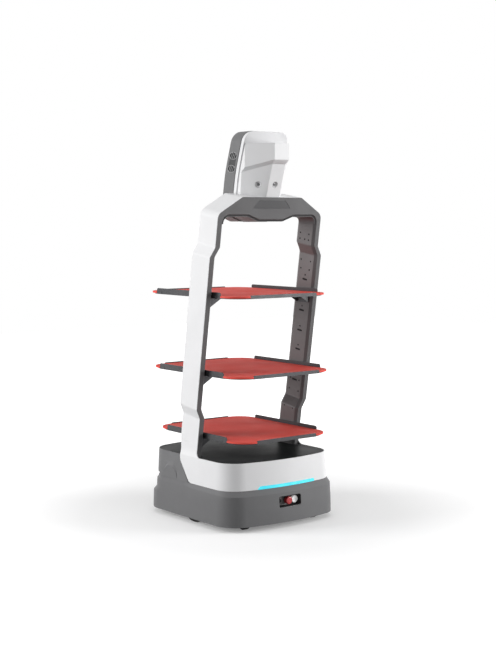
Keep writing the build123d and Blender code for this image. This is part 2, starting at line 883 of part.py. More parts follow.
with BuildPart() as nameplate:
    with BuildSketch(arch_plane(0.5)):
        add(nameplate_face(1.0))
    extrude(amount=-(plate_recess - 0.5))
nameplate.part.label = "nameplate"
export_step(nameplate.part, "parts/nameplate.step")

# Grey rear bezel with its wider bevel

rear_drop = (arch_depth - rear_lip / 2) * lean_tan
with BuildPart() as rear_bevel_cut:
    with BuildSketch(arch_plane(arch_depth)):
        add(opening_face(rear_bevel, rear_drop))
    with BuildSketch(arch_plane(arch_depth - rear_lip)):
        add(opening_face(0.0, rear_drop))
    loft(ruled=True)
with BuildPart() as rear_bezel:
    with BuildSketch(arch_plane(arch_depth - rear_lip + 0.1)):
        add(ring_face(shell_wall, 0.0, rear_drop))
    extrude(amount=-(rear_lip - 0.1))
    with BuildSketch(arch_plane(arch_depth - rear_lip)):
        with Locations((0, along(700))):
            Rectangle(700, 1400)
        add(opening_face(rear_bevel + bezel_face, rear_drop), mode=Mode.SUBTRACT)
    extrude(amount=-(rear_lip - bezel_face), mode=Mode.SUBTRACT)
    add(rear_bevel_cut.part, mode=Mode.SUBTRACT)
    add(deck_limit.part, mode=Mode.INTERSECT)
rear_bezel.part.label = "rear_bezel"
export_step(rear_bezel.part, "parts/rear_bezel.step")

# Inner leg panels with their screw holes and tray slots

hole_pairs = [
    (766.0, 25.7, 72.5),
    (745.5, 25.7, 72.0),
    (668.5, 24.0, 76.0),
    (637.5, 27.0, 73.0),
    (233.3, 21.0, 70.0),
    (193.0, 20.0, 71.0),
    (130.0, 22.0, 69.0),
]
centre_holes = [745.5, 617.0, 504.0, 430.0, 360.0, 247.0]
slot_heights = [601.0, 488.6, 415.0, 345.0, 231.3]
slot_size = (26.0, 5.0)
slot_centre = 46.0
hole_radius = 2.6
for side, name in ((-1, "leg_panel_left"), (1, "leg_panel_right")):
    with BuildPart() as leg_panel:
        with BuildSketch(arch_plane(bezel_lip)):
            with BuildSketch(mode=Mode.PRIVATE) as panel_face:
                add(opening_face(panel_thickness))
                add(opening_face(0.0), mode=Mode.SUBTRACT)
                with Locations((side * 200, 500)):
                    Rectangle(120, 1400, mode=Mode.INTERSECT)
            add(panel_face.sketch)
        extrude(amount=-(arch_depth - rear_lip - bezel_lip))
        with BuildSketch(side_plane(side * 150.0)):
            for up, near, far in hole_pairs:
                with Locations((near, up), (far, up)):
                    Circle(hole_radius)
            with Locations(*[(slot_centre, up) for up in centre_holes]):
                Circle(hole_radius)
            with Locations(*[(slot_centre, up) for up in slot_heights]):
                SlotOverall(*slot_size)
        extrude(amount=side * 100, mode=Mode.SUBTRACT)
        with BuildSketch(Plane.XY.offset(deck_top)):
            with Locations((0, arch_y)):
                Rectangle(700, 700)
        extrude(amount=panel_top - deck_top, mode=Mode.INTERSECT)
    leg_panel.part.label = name
    export_step(leg_panel.part, "parts/" + name + ".step")

# Three trays: pan with turned-up ends, red mat, side lips and gusset brackets

bracket_faces = {
    "top": middle_half_width - leg_thickness,
    "middle": middle_half_width - leg_thickness,
    "bottom": lower_half_width - leg_thickness,
}
screw_size = 3.4
screw_head = 1.6
for level in ("top", "middle", "bottom"):
    lip_face, lip_half, end_face, end_half = tray_sizes[level]
    tray_y = tray_setbacks[level]
    mat_top = tray_heights[level]
    pan_low = mat_top - mat_thickness - pan_thickness
    lip_inner = lip_face - lip_thickness
    end_inner = end_face - lip_thickness

    with BuildPart() as pan:
        with BuildSketch(Plane.XY.offset(pan_low)):
            with Locations((0, tray_y)):
                RectangleRounded(2 * lip_inner, 2 * end_inner, tray_corner + pan_inset)
        extrude(amount=pan_thickness)
        with BuildSketch(Plane.XY.offset(pan_low)):
            with Locations((0, tray_y - end_face + 1.5), (0, tray_y + end_face - 1.5)):
                Rectangle(2 * end_half, lip_thickness)
        extrude(amount=pan_thickness + mat_thickness + end_rise)
        end_corners = pan.edges().filter_by(Axis.Y).group_by(Axis.Z)[-1]
        chamfer(end_corners, 3.0)
    pan.part.label = "tray_" + level + "_pan"
    export_step(pan.part, "parts/tray_" + level + "_pan.step")

    with BuildPart() as mat:
        with BuildSketch(Plane.XY.offset(mat_top - mat_thickness)):
            with Locations((0, tray_y)):
                RectangleRounded(2 * lip_face + 1.6, 2 * end_face + 1.2, tray_corner)
            for side in (-1, 1):
                with Locations((side * (lip_inner - 0.2 + 20), tray_y)):
                    Rectangle(40, 2 * lip_half + 0.6, mode=Mode.SUBTRACT)
                with Locations((0, tray_y + side * (end_inner - 0.2 + 20))):
                    Rectangle(2 * end_half + 0.6, 40, mode=Mode.SUBTRACT)
        extrude(amount=mat_thickness)
    mat.part.label = "tray_" + level + "_mat"
    export_step(mat.part, "parts/tray_" + level + "_mat.step")

    with BuildPart() as lips:
        lip_outline = [
            (-lip_half, pan_low),
            (lip_half, pan_low),
            (lip_half, mat_top + lip_rise),
            (-lip_half, mat_top + lip_rise),
        ]
        for start in (-lip_face, lip_inner):
            with BuildSketch(Plane.YZ.offset(start)):
                with Locations((tray_y, 0)):
                    add(rounded(lip_outline, [2.0, 2.0, 7.0, 7.0]))
            extrude(amount=lip_thickness)
    lips.part.label = "tray_" + level + "_lips"
    export_step(lips.part, "parts/tray_" + level + "_lips.step")

    wall_x = bracket_faces[level]
    bracket_y = arch_face_y(mat_top, bracket_start)
    gusset = [
        (wall_x, pan_low),
        (wall_x - bracket_reach, pan_low),
        (wall_x - bracket_reach, pan_low - bracket_sheet),
        (wall_x - bracket_sheet, pan_low - bracket_drop),
        (wall_x, pan_low - bracket_drop),
    ]
    with BuildPart() as brackets:
        for side in (-1, 1):
            outline = [(side * x, z) for x, z in gusset]
            with BuildSketch(Plane.XZ.offset(-bracket_y)):
                add(rounded(outline, [0] * 5))
            extrude(amount=-bracket_length)
            hollow = [
                (side * (wall_x - bracket_sheet), pan_low - bracket_sheet),
                (side * (wall_x - bracket_reach - 20), pan_low - bracket_sheet),
                (side * (wall_x - bracket_reach - 20), pan_low - bracket_drop - 5),
                (side * (wall_x - bracket_sheet), pan_low - bracket_drop - 5),
            ]
            with BuildSketch(Plane.XZ.offset(-(bracket_y + bracket_sheet))):
                add(rounded(hollow, [0] * 4))
            extrude(amount=-(bracket_length - 2 * bracket_sheet), mode=Mode.SUBTRACT)
    brackets.part.label = "tray_" + level + "_brackets"
    export_step(brackets.part, "parts/tray_" + level + "_brackets.step")

with BuildPart() as tray_screws:
    for level in ("top", "middle", "bottom"):
        lip_face, lip_half, end_face, end_half = tray_sizes[level]
        tray_y = tray_setbacks[level]
        pan_low = tray_heights[level] - mat_thickness - pan_thickness
        wall_x = bracket_faces[level]
        bracket_y = arch_face_y(tray_heights[level], bracket_start)
        for side in (-1, 1):
            lip_places = [(tray_y + k * (lip_half - 28), pan_low + 5.0) for k in (-1, 1)]
            wall_places = [(bracket_y + k, pan_low - bracket_drop + 10.0) for k in (15.0, 47.0)]
            with BuildSketch(Plane.YZ.offset(side * lip_face)):
                with Locations(*lip_places):
                    RegularPolygon(screw_size, 6)
            extrude(amount=side * screw_head)
            with BuildSketch(Plane.YZ.offset(side * (wall_x - bracket_sheet))):
                with Locations(*wall_places):
                    RegularPolygon(screw_size, 6)
            extrude(amount=-side * screw_head)
tray_screws.part.label = "tray_screws"
export_step(tray_screws.part, "parts/tray_screws.step")

# Head: leaning display unit on the back of the beam

display_rear = [
    (-1.4, belly_low),
    (-17.7, 1137.0),
    (-29.0, 1200.0),
    (-46.0, 1258.0),
    (-62.0, 1308.0),
    (-73.5, head_top),
]


def leaning_band(front_shift, rear_shift, half_width):
    """Slice of the curved display unit, shifts measured back from its front and rear faces."""
    front = [(y - display_thickness + front_shift, z) for y, z in display_rear]
    rear = [(y + rear_shift, z) for y, z in display_rear]
    with BuildPart() as band:
        with BuildSketch(Plane.YZ) as side_view:
            with Locations((base_y, 0)):
                with BuildSketch(mode=Mode.PRIVATE) as slice_face:
                    with BuildLine():
                        rear_low = Line(rear[0], rear[1])
                        rear_high = Spline(*rear[1:], tangents=((-16.3, 98.8), (-11.5, 36.0)))
                        Line(rear_high @ 1, front[-1])
                        front_high = Spline(*front[1:], tangents=((-16.3, 98.8), (-11.5, 36.0)))
                        front_low = Line(front_high @ 0, front[0])
                        Line(front_low @ 1, rear_low @ 0)
                    make_face()
                add(slice_face.sketch)
        extrude(amount=half_width, both=True)
    return band.part


def head_outline(half_width, top, corner):
    """Front view of the display unit: rounded top, belly-shaped foot."""
    inset = head_half_width - half_width
    points = [
        (belly_half_width - inset, belly_low + inset),
        (half_width, belly_low + 16.0 + inset),
        (half_width, top),
    ]
    return rounded(mirrored(points), [18.0, 10.0, corner, corner, 10.0, 18.0])


def head_prism(outline):
    """Front outline extruded through the whole depth of the head."""
    with BuildPart() as prism:
        with BuildSketch(Plane.XZ.offset(-base_y - 100)):
            add(outline)
        extrude(amount=300, both=True)
    return prism.part


seat_cut = 1.5               # most that the beam's rear plane cuts into the display unit's foot
display_band = leaning_band(0.0, 0.0, 200)
display_core = leaning_band(seat_cut + moulding_wall, -moulding_wall, 200)
display_shape = head_prism(head_outline(head_half_width, head_top, head_corner))
display_hollow = head_prism(
    head_outline(head_half_width - moulding_wall, head_top - moulding_wall, head_corner - 3.0)
)
glass_half_width = 88.0
glass_low = 1052.0
glass_high = 1334.0
glass_pocket = 2.4
with BuildPart() as glass_prism:
    with BuildSketch(Plane.XZ.offset(-base_y - 100)):
        with Locations((0, (glass_low + glass_high) / 2)):
            RectangleRounded(2 * glass_half_width, glass_high - glass_low, 26)
    extrude(amount=300, both=True)
with BuildPart() as glass_pocket_cut:
    with BuildSketch(Plane.XZ.offset(-base_y - 100)):
        with Locations((0, (glass_low + glass_high) / 2)):
            RectangleRounded(2 * glass_half_width + 0.6, glass_high - glass_low + 0.6, 26.3)
    extrude(amount=300, both=True)
pocket_band = leaning_band(display_thickness - glass_pocket, 20.0, 200)
glass_band = leaning_band(display_thickness - glass_pocket, -0.4, 200)
with BuildPart() as display_core_solid:
    add(display_core)
    add(display_hollow, mode=Mode.INTERSECT)
with BuildPart() as glass_pocket_solid:
    add(pocket_band)
    add(glass_pocket_cut.part, mode=Mode.INTERSECT)

trim_centre = (-70.3, 1239.5)
trim_size = (35.0, 68.0)
trim_corner = 11.0
trim_tilt = 15.0
trim_sink = 1.2
grille_pitch = 45.5
grille_size = (31.0, 19.0)


def trim_plane(side):
    """Plane on the display unit's side, turned with its lean."""
    tilt = radians(trim_tilt)
    return Plane(
        origin=(side * (head_half_width - trim_sink), base_y + trim_centre[0], trim_centre[1]),
        x_dir=(0, cos(tilt), sin(tilt)),
        z_dir=(1, 0, 0),
    )


with BuildPart() as beam_block:
    with BuildSketch(arch_plane(-60)):
        with Locations((0, along(crown_height) - 100)):
            Rectangle(500, 200)
    extrude(amount=-(arch_depth + 60))
with BuildPart() as head_back_shell:
    add(display_band)
    add(display_shape, mode=Mode.INTERSECT)
    add(beam_block.part, mode=Mode.SUBTRACT)
    add(display_core_solid.part, mode=Mode.SUBTRACT)
    add(glass_pocket_solid.part, mode=Mode.SUBTRACT)
    for side in (-1, 1):
        with BuildSketch(trim_plane(side)):
            RectangleRounded(trim_size[0] + 0.4, trim_size[1] + 0.4, trim_corner + 0.2)
        extrude(amount=side * 10, mode=Mode.SUBTRACT)
head_back_shell.part.label = "head_back_shell"
export_step(head_back_shell.part, "parts/head_back_shell.step")

with BuildPart() as display_glass:
    add(glass_band)
    add(glass_prism.part, mode=Mode.INTERSECT)
display_glass.part.label = "display_glass"
export_step(display_glass.part, "parts/display_glass.step")

with BuildPart() as side_trims:
    for side in (-1, 1):
        with BuildSketch(trim_plane(side)):
            RectangleRounded(*trim_size, trim_corner)
            with Locations((0, grille_pitch / 2), (0, -grille_pitch / 2)):
                SlotOverall(grille_size[0] + 0.4, grille_size[1] + 0.4, mode=Mode.SUBTRACT)
        extrude(amount=side * (trim_sink - 0.4))
side_trims.part.label = "side_trims"
export_step(side_trims.part, "parts/side_trims.step")

with BuildPart() as side_grilles:
    for side in (-1, 1):
        with BuildSketch(trim_plane(side)):
            with Locations((0, grille_pitch / 2), (0, -grille_pitch / 2)):
                SlotOverall(*grille_size)
        extrude(amount=side * (trim_sink + 0.3))
side_grilles.part.label = "side_grilles"
export_step(side_grilles.part, "parts/side_grilles.step")

# White front housing of the head: plate over the display unit and faceted lower housing

housing_wall = 3.0
plate_front = -front_shell_depth
plate_rear = -display_thickness
visor_tilt = degrees(atan2(visor_slope, 1.0))
nose_floor = 1105.0
nose_roof_z = visor_lip - visor_step


def nose_corners(height, inset):
    """Right half of the lower housing's plan at a height, about the base reference."""
    front = nose_front + nose_front_slope * (height - nose_front_height) + inset
    flank = nose_flank + nose_flank_slope * (height - nose_flank_height) + inset
    return [(nose_half_width - 0.6 * inset, front), (nose_side - inset, flank)]


def slanted_plane(height):
    """Plane of the visor's underside, through this height at the visor's front."""
    tilt = radians(visor_tilt)
    return Plane(
        origin=(0, base_y - visor_front, height),
        x_dir=(1, 0, 0),
        z_dir=(0, sin(tilt), cos(tilt)),
    )


def slanted_face(corners, back):
    """Plan outline drawn on the slanted plane, in line with its upright projection."""
    stretch = 1 / cos(radians(visor_tilt))
    points = [(x, (y + visor_front) * stretch) for x, y in corners]
    points.append((points[-1][0], (back + visor_front) * stretch))
    return rounded(mirrored(points), [0] * (2 * len(points)))


def nose_block(inset, low, high):
    """Lower housing between a level floor and its slanted roof."""
    roof_front = nose_corners(nose_roof_z, inset)
    front_y = roof_front[0][1]
    front_height = high - visor_slope * (front_y + visor_front)
    flank_height = high - visor_slope * (roof_front[1][1] + visor_front)
    roof = [nose_corners(front_height, inset)[0], nose_corners(flank_height, inset)[1]]
    floor = nose_corners(low, inset)
    floor = floor + [(floor[-1][0], -78.0)]
    with BuildPart() as block:
        with BuildSketch(Plane.XY.offset(low)):
            with Locations((0, base_y)):
                add(rounded(mirrored(floor), [0] * 6))
        with BuildSketch(slanted_plane(high)):
            add(slanted_face(roof, -95.0))
        loft(ruled=True)
    return block.part


def visor_corners(inset):
    """Right half of the visor's plan about the base reference."""
    return [
        (visor_half_width - 0.6 * inset, -visor_front + inset),
        (nose_side - inset, visor_flank + 0.6 * inset),
    ]


def visor_block(inset):
    """Visor with the slanted step below it; the back runs into the plate."""
    underside = visor_lip + inset
    step_low = underside - visor_step
    front_y = nose_corners(step_low, inset)[0][1]
    front_height = step_low - visor_slope * (front_y + visor_front)
    flank_height = step_low - visor_slope * (nose_flank + visor_front)
    low = [nose_corners(front_height, inset)[0], nose_corners(flank_height, inset)[1]]
    high = visor_corners(inset)
    with BuildPart() as block:
        with BuildSketch(slanted_plane(step_low)):
            add(slanted_face(low, -95.0))
        with BuildSketch(slanted_plane(underside)):
            add(slanted_face(high, -95.0))
        loft(ruled=True)
        upright = high + [(high[-1][0], -95.0)]
        with BuildSketch(Plane.XY.offset(visor_lip - 60)) as plan:
            with Locations((0, base_y)):
                add(rounded(mirrored(upright), [0] * 6))
        with BuildPart(mode=Mode.PRIVATE) as column:
            add(plan.sketch)
            extrude(amount=visor_top - inset - visor_lip + 60)
            with BuildSketch(slanted_plane(underside)):
                with Locations((0, 100)):
                    Rectangle(400, 500)
            extrude(amount=-200, mode=Mode.SUBTRACT)
        add(column.part)
    return block.part


with BuildPart() as below_crown:
    with BuildSketch(arch_plane(-60)):
        with Locations((0, along(crown_height) - 200)):
            Rectangle(500, 400)
    extrude(amount=-(arch_depth + 120))
plate_shape = head_prism(
    head_outline(front_shell_half_width, head_top - 1.5, head_corner - 2.0)
)
plate_band = leaning_band(plate_front, plate_rear, 200)
plate_hollow_band = leaning_band(plate_front + housing_wall, plate_rear, 200)
plate_hollow_shape = head_prism(
    head_outline(
        front_shell_half_width - housing_wall, head_top - 1.5 - housing_wall, head_corner - 5.0
    )
)
nose_outside = nose_block(0.0, nose_floor, nose_roof_z)
nose_inside = nose_block(housing_wall, nose_floor, nose_roof_z - housing_wall)
with BuildPart() as plate_hollow:
    add(plate_hollow_band)
    add(plate_hollow_shape, mode=Mode.INTERSECT)

window_height = 1163.0
window_share = 0.37          # place of the side windows along their facets


def window_plane(side):
    """Plane on a facet of the lower housing at its camera window, facing outwards."""
    inner, outer = nose_corners(window_height, 0.0)
    if side == 0:
        origin = (0, base_y + inner[1], window_height)
        normal = (0, -1, nose_front_slope)
    else:
        run_x = outer[0] - inner[0]
        run_y = outer[1] - inner[1]
        x = inner[0] + window_share * run_x
        y = inner[1] + window_share * run_y
        slope = nose_front_slope + window_share * (nose_flank_slope - nose_front_slope)
        origin = (side * x, base_y + y, window_height)
        normal = (side * run_y, -run_x, slope * run_x)
    return Plane(origin=origin, z_dir=normal)


with BuildPart() as head_front_shell:
    add(plate_band)
    add(plate_shape, mode=Mode.INTERSECT)
    add(nose_outside)
    add(plate_hollow.part, mode=Mode.SUBTRACT)
    add(nose_inside, mode=Mode.SUBTRACT)
    add(below_crown.part, mode=Mode.SUBTRACT)
    for side in (-1, 0, 1):
        with BuildSketch(window_plane(side)):
            Circle(camera_radius)
        extrude(amount=14, both=True, mode=Mode.SUBTRACT)
head_front_shell.part.label = "head_front_shell"
export_step(head_front_shell.part, "parts/head_front_shell.step")

# Camera windows in the facets: dark lens plates with their short barrels

lens_clearance = 0.15
with BuildPart() as camera_windows:
    for side in (-1, 0, 1):
        window = window_plane(side)
        with BuildSketch(window.offset(-camera_sink)):
            Circle(camera_radius - lens_clearance)
        extrude(amount=-3.0)
        with BuildSketch(window.offset(-camera_sink - 3.0)):
            Circle(camera_radius - 3.5)
        extrude(amount=-9.0)
camera_windows.part.label = "camera_windows"
export_step(camera_windows.part, "parts/camera_windows.step")

# Faceted visor over the lower housing

visor_outside = visor_block(0.0)
visor_inside = visor_block(housing_wall)
plate_behind = leaning_band(plate_front, 60.0, 200)
with BuildPart() as visor:
    add(visor_outside)
    add(visor_inside, mode=Mode.SUBTRACT)
    add(plate_behind, mode=Mode.SUBTRACT)
    add(nose_outside, mode=Mode.SUBTRACT)
visor.part.label = "visor"
export_step(visor.part, "parts/visor.step")

# Sprung drive units: arm with its axle, spring, hub wheel and tyre

hub_radius = drive_radius - tyre_section
arm_outer_face = arm_inner_face + arm_thickness
wheel_inner_face = drive_centre_x - drive_width / 2 + 2.0
wheel_outer_face = drive_centre_x + drive_width / 2 - 2.0
axle_end = wheel_outer_face - 7.0
wheel_y = base_y + drive_centre_y
pivot_y = base_y + arm_pivot[0]
spring_y = base_y + spring_offset
spring_seat_z = 104.0
spring_top = support_top - support_thickness
arm_profile = [
    (pivot_y + 12.0, arm_pivot[1] - 9.0),
    (pivot_y + 12.0, arm_pivot[1] + 9.0),
    (wheel_y, 112.0),
    (spring_y - 11.0, spring_seat_z),
    (spring_y - 11.0, spring_seat_z - 12.0),
    (wheel_y - 20.0, 62.0),
    (wheel_y + 20.0, 62.0),
]
for side, ending in ((-1, "left"), (1, "right")):
    with BuildPart() as drive_arm:
        with BuildSketch(Plane.YZ.offset(side * arm_inner_face)):
            add(rounded(arm_profile, [7.0, 7.0, 20.0, 3.0, 3.0, 14.0, 14.0]))
            with Locations((pivot_y, arm_pivot[1])):
                Circle(pivot_radius + running_clearance, mode=Mode.SUBTRACT)
        extrude(amount=side * arm_thickness)
        with BuildSketch(Plane.XY.offset(spring_seat_z - 3.0)):
            with Locations((side * spring_x, spring_y)):
                Rectangle(2 * spring_radius + spring_wire + 0.5, 22.0)
        extrude(amount=3.0)
        bar_along_x(wheel_y, drive_radius, side * arm_outer_face, side * axle_end, axle_radius)
    drive_arm.part.label = "drive_arm_" + ending
    export_step(drive_arm.part, "parts/drive_arm_" + ending + ".step")

    with BuildPart() as spring:
        spring_height = spring_top - spring_seat_z - spring_wire
        spring_pitch = spring_height / spring_turns
        with BuildLine():
            coil = Helix(
                pitch=spring_pitch,
                height=spring_height,
                radius=spring_radius,
                center=(side * spring_x, spring_y, spring_seat_z + spring_wire / 2),
            )
        with BuildSketch(Plane(origin=coil @ 0, z_dir=coil % 0)):
            RegularPolygon(spring_wire / 2, 6)
        sweep(is_frenet=True)
    spring.part.label = "spring_" + ending
    export_step(spring.part, "parts/spring_" + ending + ".step")

    with BuildPart() as wheel:
        bar_along_x(
            wheel_y, drive_radius, side * wheel_inner_face, side * wheel_outer_face, hub_radius
        )
        bar_along_x(
            wheel_y,
            drive_radius,
            side * (wheel_outer_face - 8.0),
            side * (wheel_outer_face + 1),
            hub_radius - 6.0,
            Mode.SUBTRACT,
        )
        bar_along_x(
            wheel_y,
            drive_radius,
            side * (wheel_outer_face - 9.0),
            side * (wheel_outer_face - 1.0),
            20.0,
        )
        with BuildSketch(Plane.YZ.offset(side * (wheel_outer_face - 2.0))):
            with Locations((wheel_y, drive_radius)):
                with PolarLocations(42.0, 6):
                    Circle(5.0)
        extrude(amount=-side * 12.0, mode=Mode.SUBTRACT)
        bar_along_x(
            wheel_y,
            drive_radius,
            side * (wheel_inner_face - 1.0),
            side * (axle_end + 1.0),
            axle_radius + running_clearance,
            Mode.SUBTRACT,
        )
    wheel.part.label = "wheel_" + ending
    export_step(wheel.part, "parts/wheel_" + ending + ".step")

    with BuildPart() as tyre:
        bar_along_x(
            wheel_y,
            drive_radius,
            side * (drive_centre_x - drive_width / 2),
            side * (drive_centre_x + drive_width / 2),
            drive_radius,
        )
        outer_edges = tyre.faces().filter_by(GeomType.CYLINDER).edges().filter_by(GeomType.CIRCLE)
        chamfer(outer_edges, 4.0)
        bar_along_x(
            wheel_y,
            drive_radius,
            side * (drive_centre_x - drive_width / 2 - 1),
            side * (drive_centre_x + drive_width / 2 + 1),
            hub_radius,
            Mode.SUBTRACT,
        )
    tyre.part.label = "tyre_" + ending
    export_step(tyre.part, "parts/tyre_" + ending + ".step")

# Four swivel casters: mounting plates with pins, forks and wheels

mount_low = 69.0
mount_plate = 60.0
crown_top = 67.4
crown_thickness = 6.0
caster_pin_low = 57.5
fork_half = caster_wheel_width / 2 + fork_inner_gap + fork_cheek
caster_spots = [
    ("front_left", -1, -1),
    ("front_right", 1, -1),
    ("rear_left", -1, 1),
    ("rear_right", 1, 1),
]
with BuildPart() as caster_mounts:
    for ending, side, end in caster_spots:
        spot = (side * caster_x, base_y + end * caster_y)
        with BuildSketch(Plane.XY.offset(mount_low)):
            with Locations(spot):
                RectangleRounded(mount_plate, mount_plate, 6.0)
        extrude(amount=chassis_low - mount_low)
        with BuildSketch(Plane.XY.offset(caster_pin_low)):
            with Locations(spot):
                Circle(swivel_radius)
        extrude(amount=mount_low - caster_pin_low)
        with BuildSketch(Plane.XY.offset(caster_pin_low)):
            with Locations(spot):
                Circle(swivel_radius + 3.0)
        extrude(amount=crown_top - crown_thickness - 0.4 - caster_pin_low)
caster_mounts.part.label = "caster_mounts"
export_step(caster_mounts.part, "parts/caster_mounts.step")

for ending, side, end in caster_spots:
    spot_x = side * caster_x
    spot_y = base_y + end * caster_y
    axle_y = spot_y - caster_trail
    cheek = [
        (spot_y + 10.0, crown_top),
        (spot_y + 10.0, crown_top - crown_thickness),
        (axle_y + 7.0, caster_wheel_radius - 6.0),
        (axle_y - 7.0, caster_wheel_radius - 6.0),
        (axle_y - 8.0, crown_top - crown_thickness),
        (axle_y - 8.0, crown_top),
    ]
    with BuildPart() as fork:
        for start in (-fork_half, fork_half - fork_cheek):
            with BuildSketch(Plane.YZ.offset(spot_x + start)):
                add(rounded(cheek, [0, 0, 6.0, 6.0, 0, 0]))
            extrude(amount=fork_cheek)
        with BuildSketch(Plane.XY.offset(crown_top - crown_thickness)):
            with Locations((spot_x, spot_y)):
                Circle(fork_half)
            with Locations((spot_x, (spot_y + 10.0 + axle_y - 8.0) / 2)):
                Rectangle(2 * fork_half, spot_y + 10.0 - axle_y + 8.0)
            with Locations((spot_x, spot_y)):
                Circle(swivel_radius + running_clearance, mode=Mode.SUBTRACT)
        extrude(amount=crown_thickness)
        bar_along_x(
            axle_y, caster_wheel_radius, spot_x - fork_half, spot_x + fork_half, caster_pin_radius
        )
    fork.part.label = "caster_fork_" + ending
    export_step(fork.part, "parts/caster_fork_" + ending + ".step")

    with BuildPart() as caster_wheel:
        wheel_start = spot_x - caster_wheel_width / 2
        wheel_end = spot_x + caster_wheel_width / 2
        bar_along_x(axle_y, caster_wheel_radius, wheel_start, wheel_end, caster_wheel_radius)
        rim_edges = caster_wheel.edges().filter_by(GeomType.CIRCLE)
        chamfer(rim_edges, 2.5)
        for start, end_x in ((wheel_start - 1, wheel_start + 4), (wheel_end - 4, wheel_end + 1)):
            with BuildSketch(Plane.YZ.offset(start)):
                with Locations((axle_y, caster_wheel_radius)):
                    Circle(17.0)
                    Circle(8.0, mode=Mode.SUBTRACT)
            extrude(amount=end_x - start, mode=Mode.SUBTRACT)
        bar_along_x(
            axle_y,
            caster_wheel_radius,
            wheel_start - 1,
            wheel_end + 1,
            caster_pin_radius + running_clearance,
            Mode.SUBTRACT,
        )
    caster_wheel.part.label = "caster_wheel_" + ending
    export_step(caster_wheel.part, "parts/caster_wheel_" + ending + ".step")
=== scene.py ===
import math
import json
import bmesh
import bpy
from mathutils import Matrix, Vector
from mathutils.bvhtree import BVHTree

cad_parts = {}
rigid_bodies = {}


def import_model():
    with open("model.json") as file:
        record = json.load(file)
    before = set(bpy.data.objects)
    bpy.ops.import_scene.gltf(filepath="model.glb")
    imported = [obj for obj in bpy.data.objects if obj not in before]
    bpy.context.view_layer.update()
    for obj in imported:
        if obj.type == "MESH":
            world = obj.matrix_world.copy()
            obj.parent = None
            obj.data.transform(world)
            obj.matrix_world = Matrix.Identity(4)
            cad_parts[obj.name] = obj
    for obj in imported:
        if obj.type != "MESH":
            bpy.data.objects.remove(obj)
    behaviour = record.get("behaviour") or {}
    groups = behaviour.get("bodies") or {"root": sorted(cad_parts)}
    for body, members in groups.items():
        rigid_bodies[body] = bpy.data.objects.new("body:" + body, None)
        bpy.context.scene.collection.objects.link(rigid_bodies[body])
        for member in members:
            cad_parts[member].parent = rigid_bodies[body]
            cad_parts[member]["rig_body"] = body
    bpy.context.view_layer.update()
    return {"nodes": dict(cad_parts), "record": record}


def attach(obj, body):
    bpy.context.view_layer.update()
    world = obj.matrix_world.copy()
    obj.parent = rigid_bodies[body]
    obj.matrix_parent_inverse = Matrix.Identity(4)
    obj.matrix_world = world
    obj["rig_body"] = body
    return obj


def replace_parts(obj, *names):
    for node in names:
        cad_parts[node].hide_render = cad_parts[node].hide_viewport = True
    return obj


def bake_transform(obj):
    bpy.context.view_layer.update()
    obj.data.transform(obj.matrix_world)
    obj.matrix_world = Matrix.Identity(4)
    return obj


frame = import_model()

nodes = frame["nodes"]
print("frame loaded:", len(nodes), "nodes")

# Metres throughout, unless a comment says millimetres. The robot's front faces -Y.

robot = {
    "baseY": -0.0105,                       # middle of the base
    "lean": math.radians(8.5),
    "archFrontY": -0.0505,                  # front plane of the arch at the height of the deck rim
    "rimZ": 0.2314,
}


def archPoint(x, depth, up):
    # a point of the leaning arch: depth behind its front plane, up along the lean from the deck rim
    c = math.cos(robot["lean"])
    s = math.sin(robot["lean"])
    return Vector((x, robot["archFrontY"] + depth * c - up * s, robot["rimZ"] + depth * s + up * c))


def archPlace(point):
    # the other way round: depth and up of a point
    behind = point.y - robot["archFrontY"]
    above = point.z - robot["rimZ"]
    c = math.cos(robot["lean"])
    s = math.sin(robot["lean"])
    return behind * c + above * s, above * c - behind * s


# Camera at the photograph's angle

view = {
    "place": (-2.8069, -3.6433, 1.0490),
    "turn": math.radians(-37.954),
    "dip": math.radians(4.981),
    "lens": 70.65,                          # millimetres, as is the sensor
    "sensor": 36.0,
    "farthest": 60.0,
}
cameraData = bpy.data.cameras.new("camera")
cameraData.lens = view["lens"]
cameraData.sensor_width = view["sensor"]
cameraData.clip_end = view["farthest"]
camera = bpy.data.objects.new("camera", cameraData)
camera.location = view["place"]
camera.rotation_euler = (math.pi / 2 - view["dip"], 0.0, view["turn"])
bpy.context.scene.collection.objects.link(camera)
bpy.context.scene.camera = camera
print("camera placed")


# Node helpers for the materials

def newMaterial(name):
    material = bpy.data.materials.new(name)
    material.use_nodes = True
    tree = material.node_tree
    shader = tree.nodes["Principled BSDF"]
    return material, tree, shader


def coordinates(tree):
    return tree.nodes.new("ShaderNodeTexCoord").outputs["Object"]


def noise(tree, vector, scale, detail=3.0, rough=0.5):
    node = tree.nodes.new("ShaderNodeTexNoise")
    node.inputs["Scale"].default_value = scale
    node.inputs["Detail"].default_value = detail
    node.inputs["Roughness"].default_value = rough
    tree.links.new(vector, node.inputs["Vector"])
    return node.outputs["Fac"]


def spread(tree, value, low, high, toLow, toHigh):
    node = tree.nodes.new("ShaderNodeMapRange")
    node.inputs["From Min"].default_value = low
    node.inputs["From Max"].default_value = high
    node.inputs["To Min"].default_value = toLow
    node.inputs["To Max"].default_value = toHigh
    tree.links.new(value, node.inputs["Value"])
    return node.outputs["Result"]


def blendColour(tree, factor, first, second):
    node = tree.nodes.new("ShaderNodeMix")
    node.data_type = "RGBA"
    tree.links.new(factor, node.inputs[0])
    for socket, colour in ((node.inputs[6], first), (node.inputs[7], second)):
        if isinstance(colour, tuple):
            socket.default_value = colour + (1.0,)
        else:
            tree.links.new(colour, socket)
    return node.outputs[2]


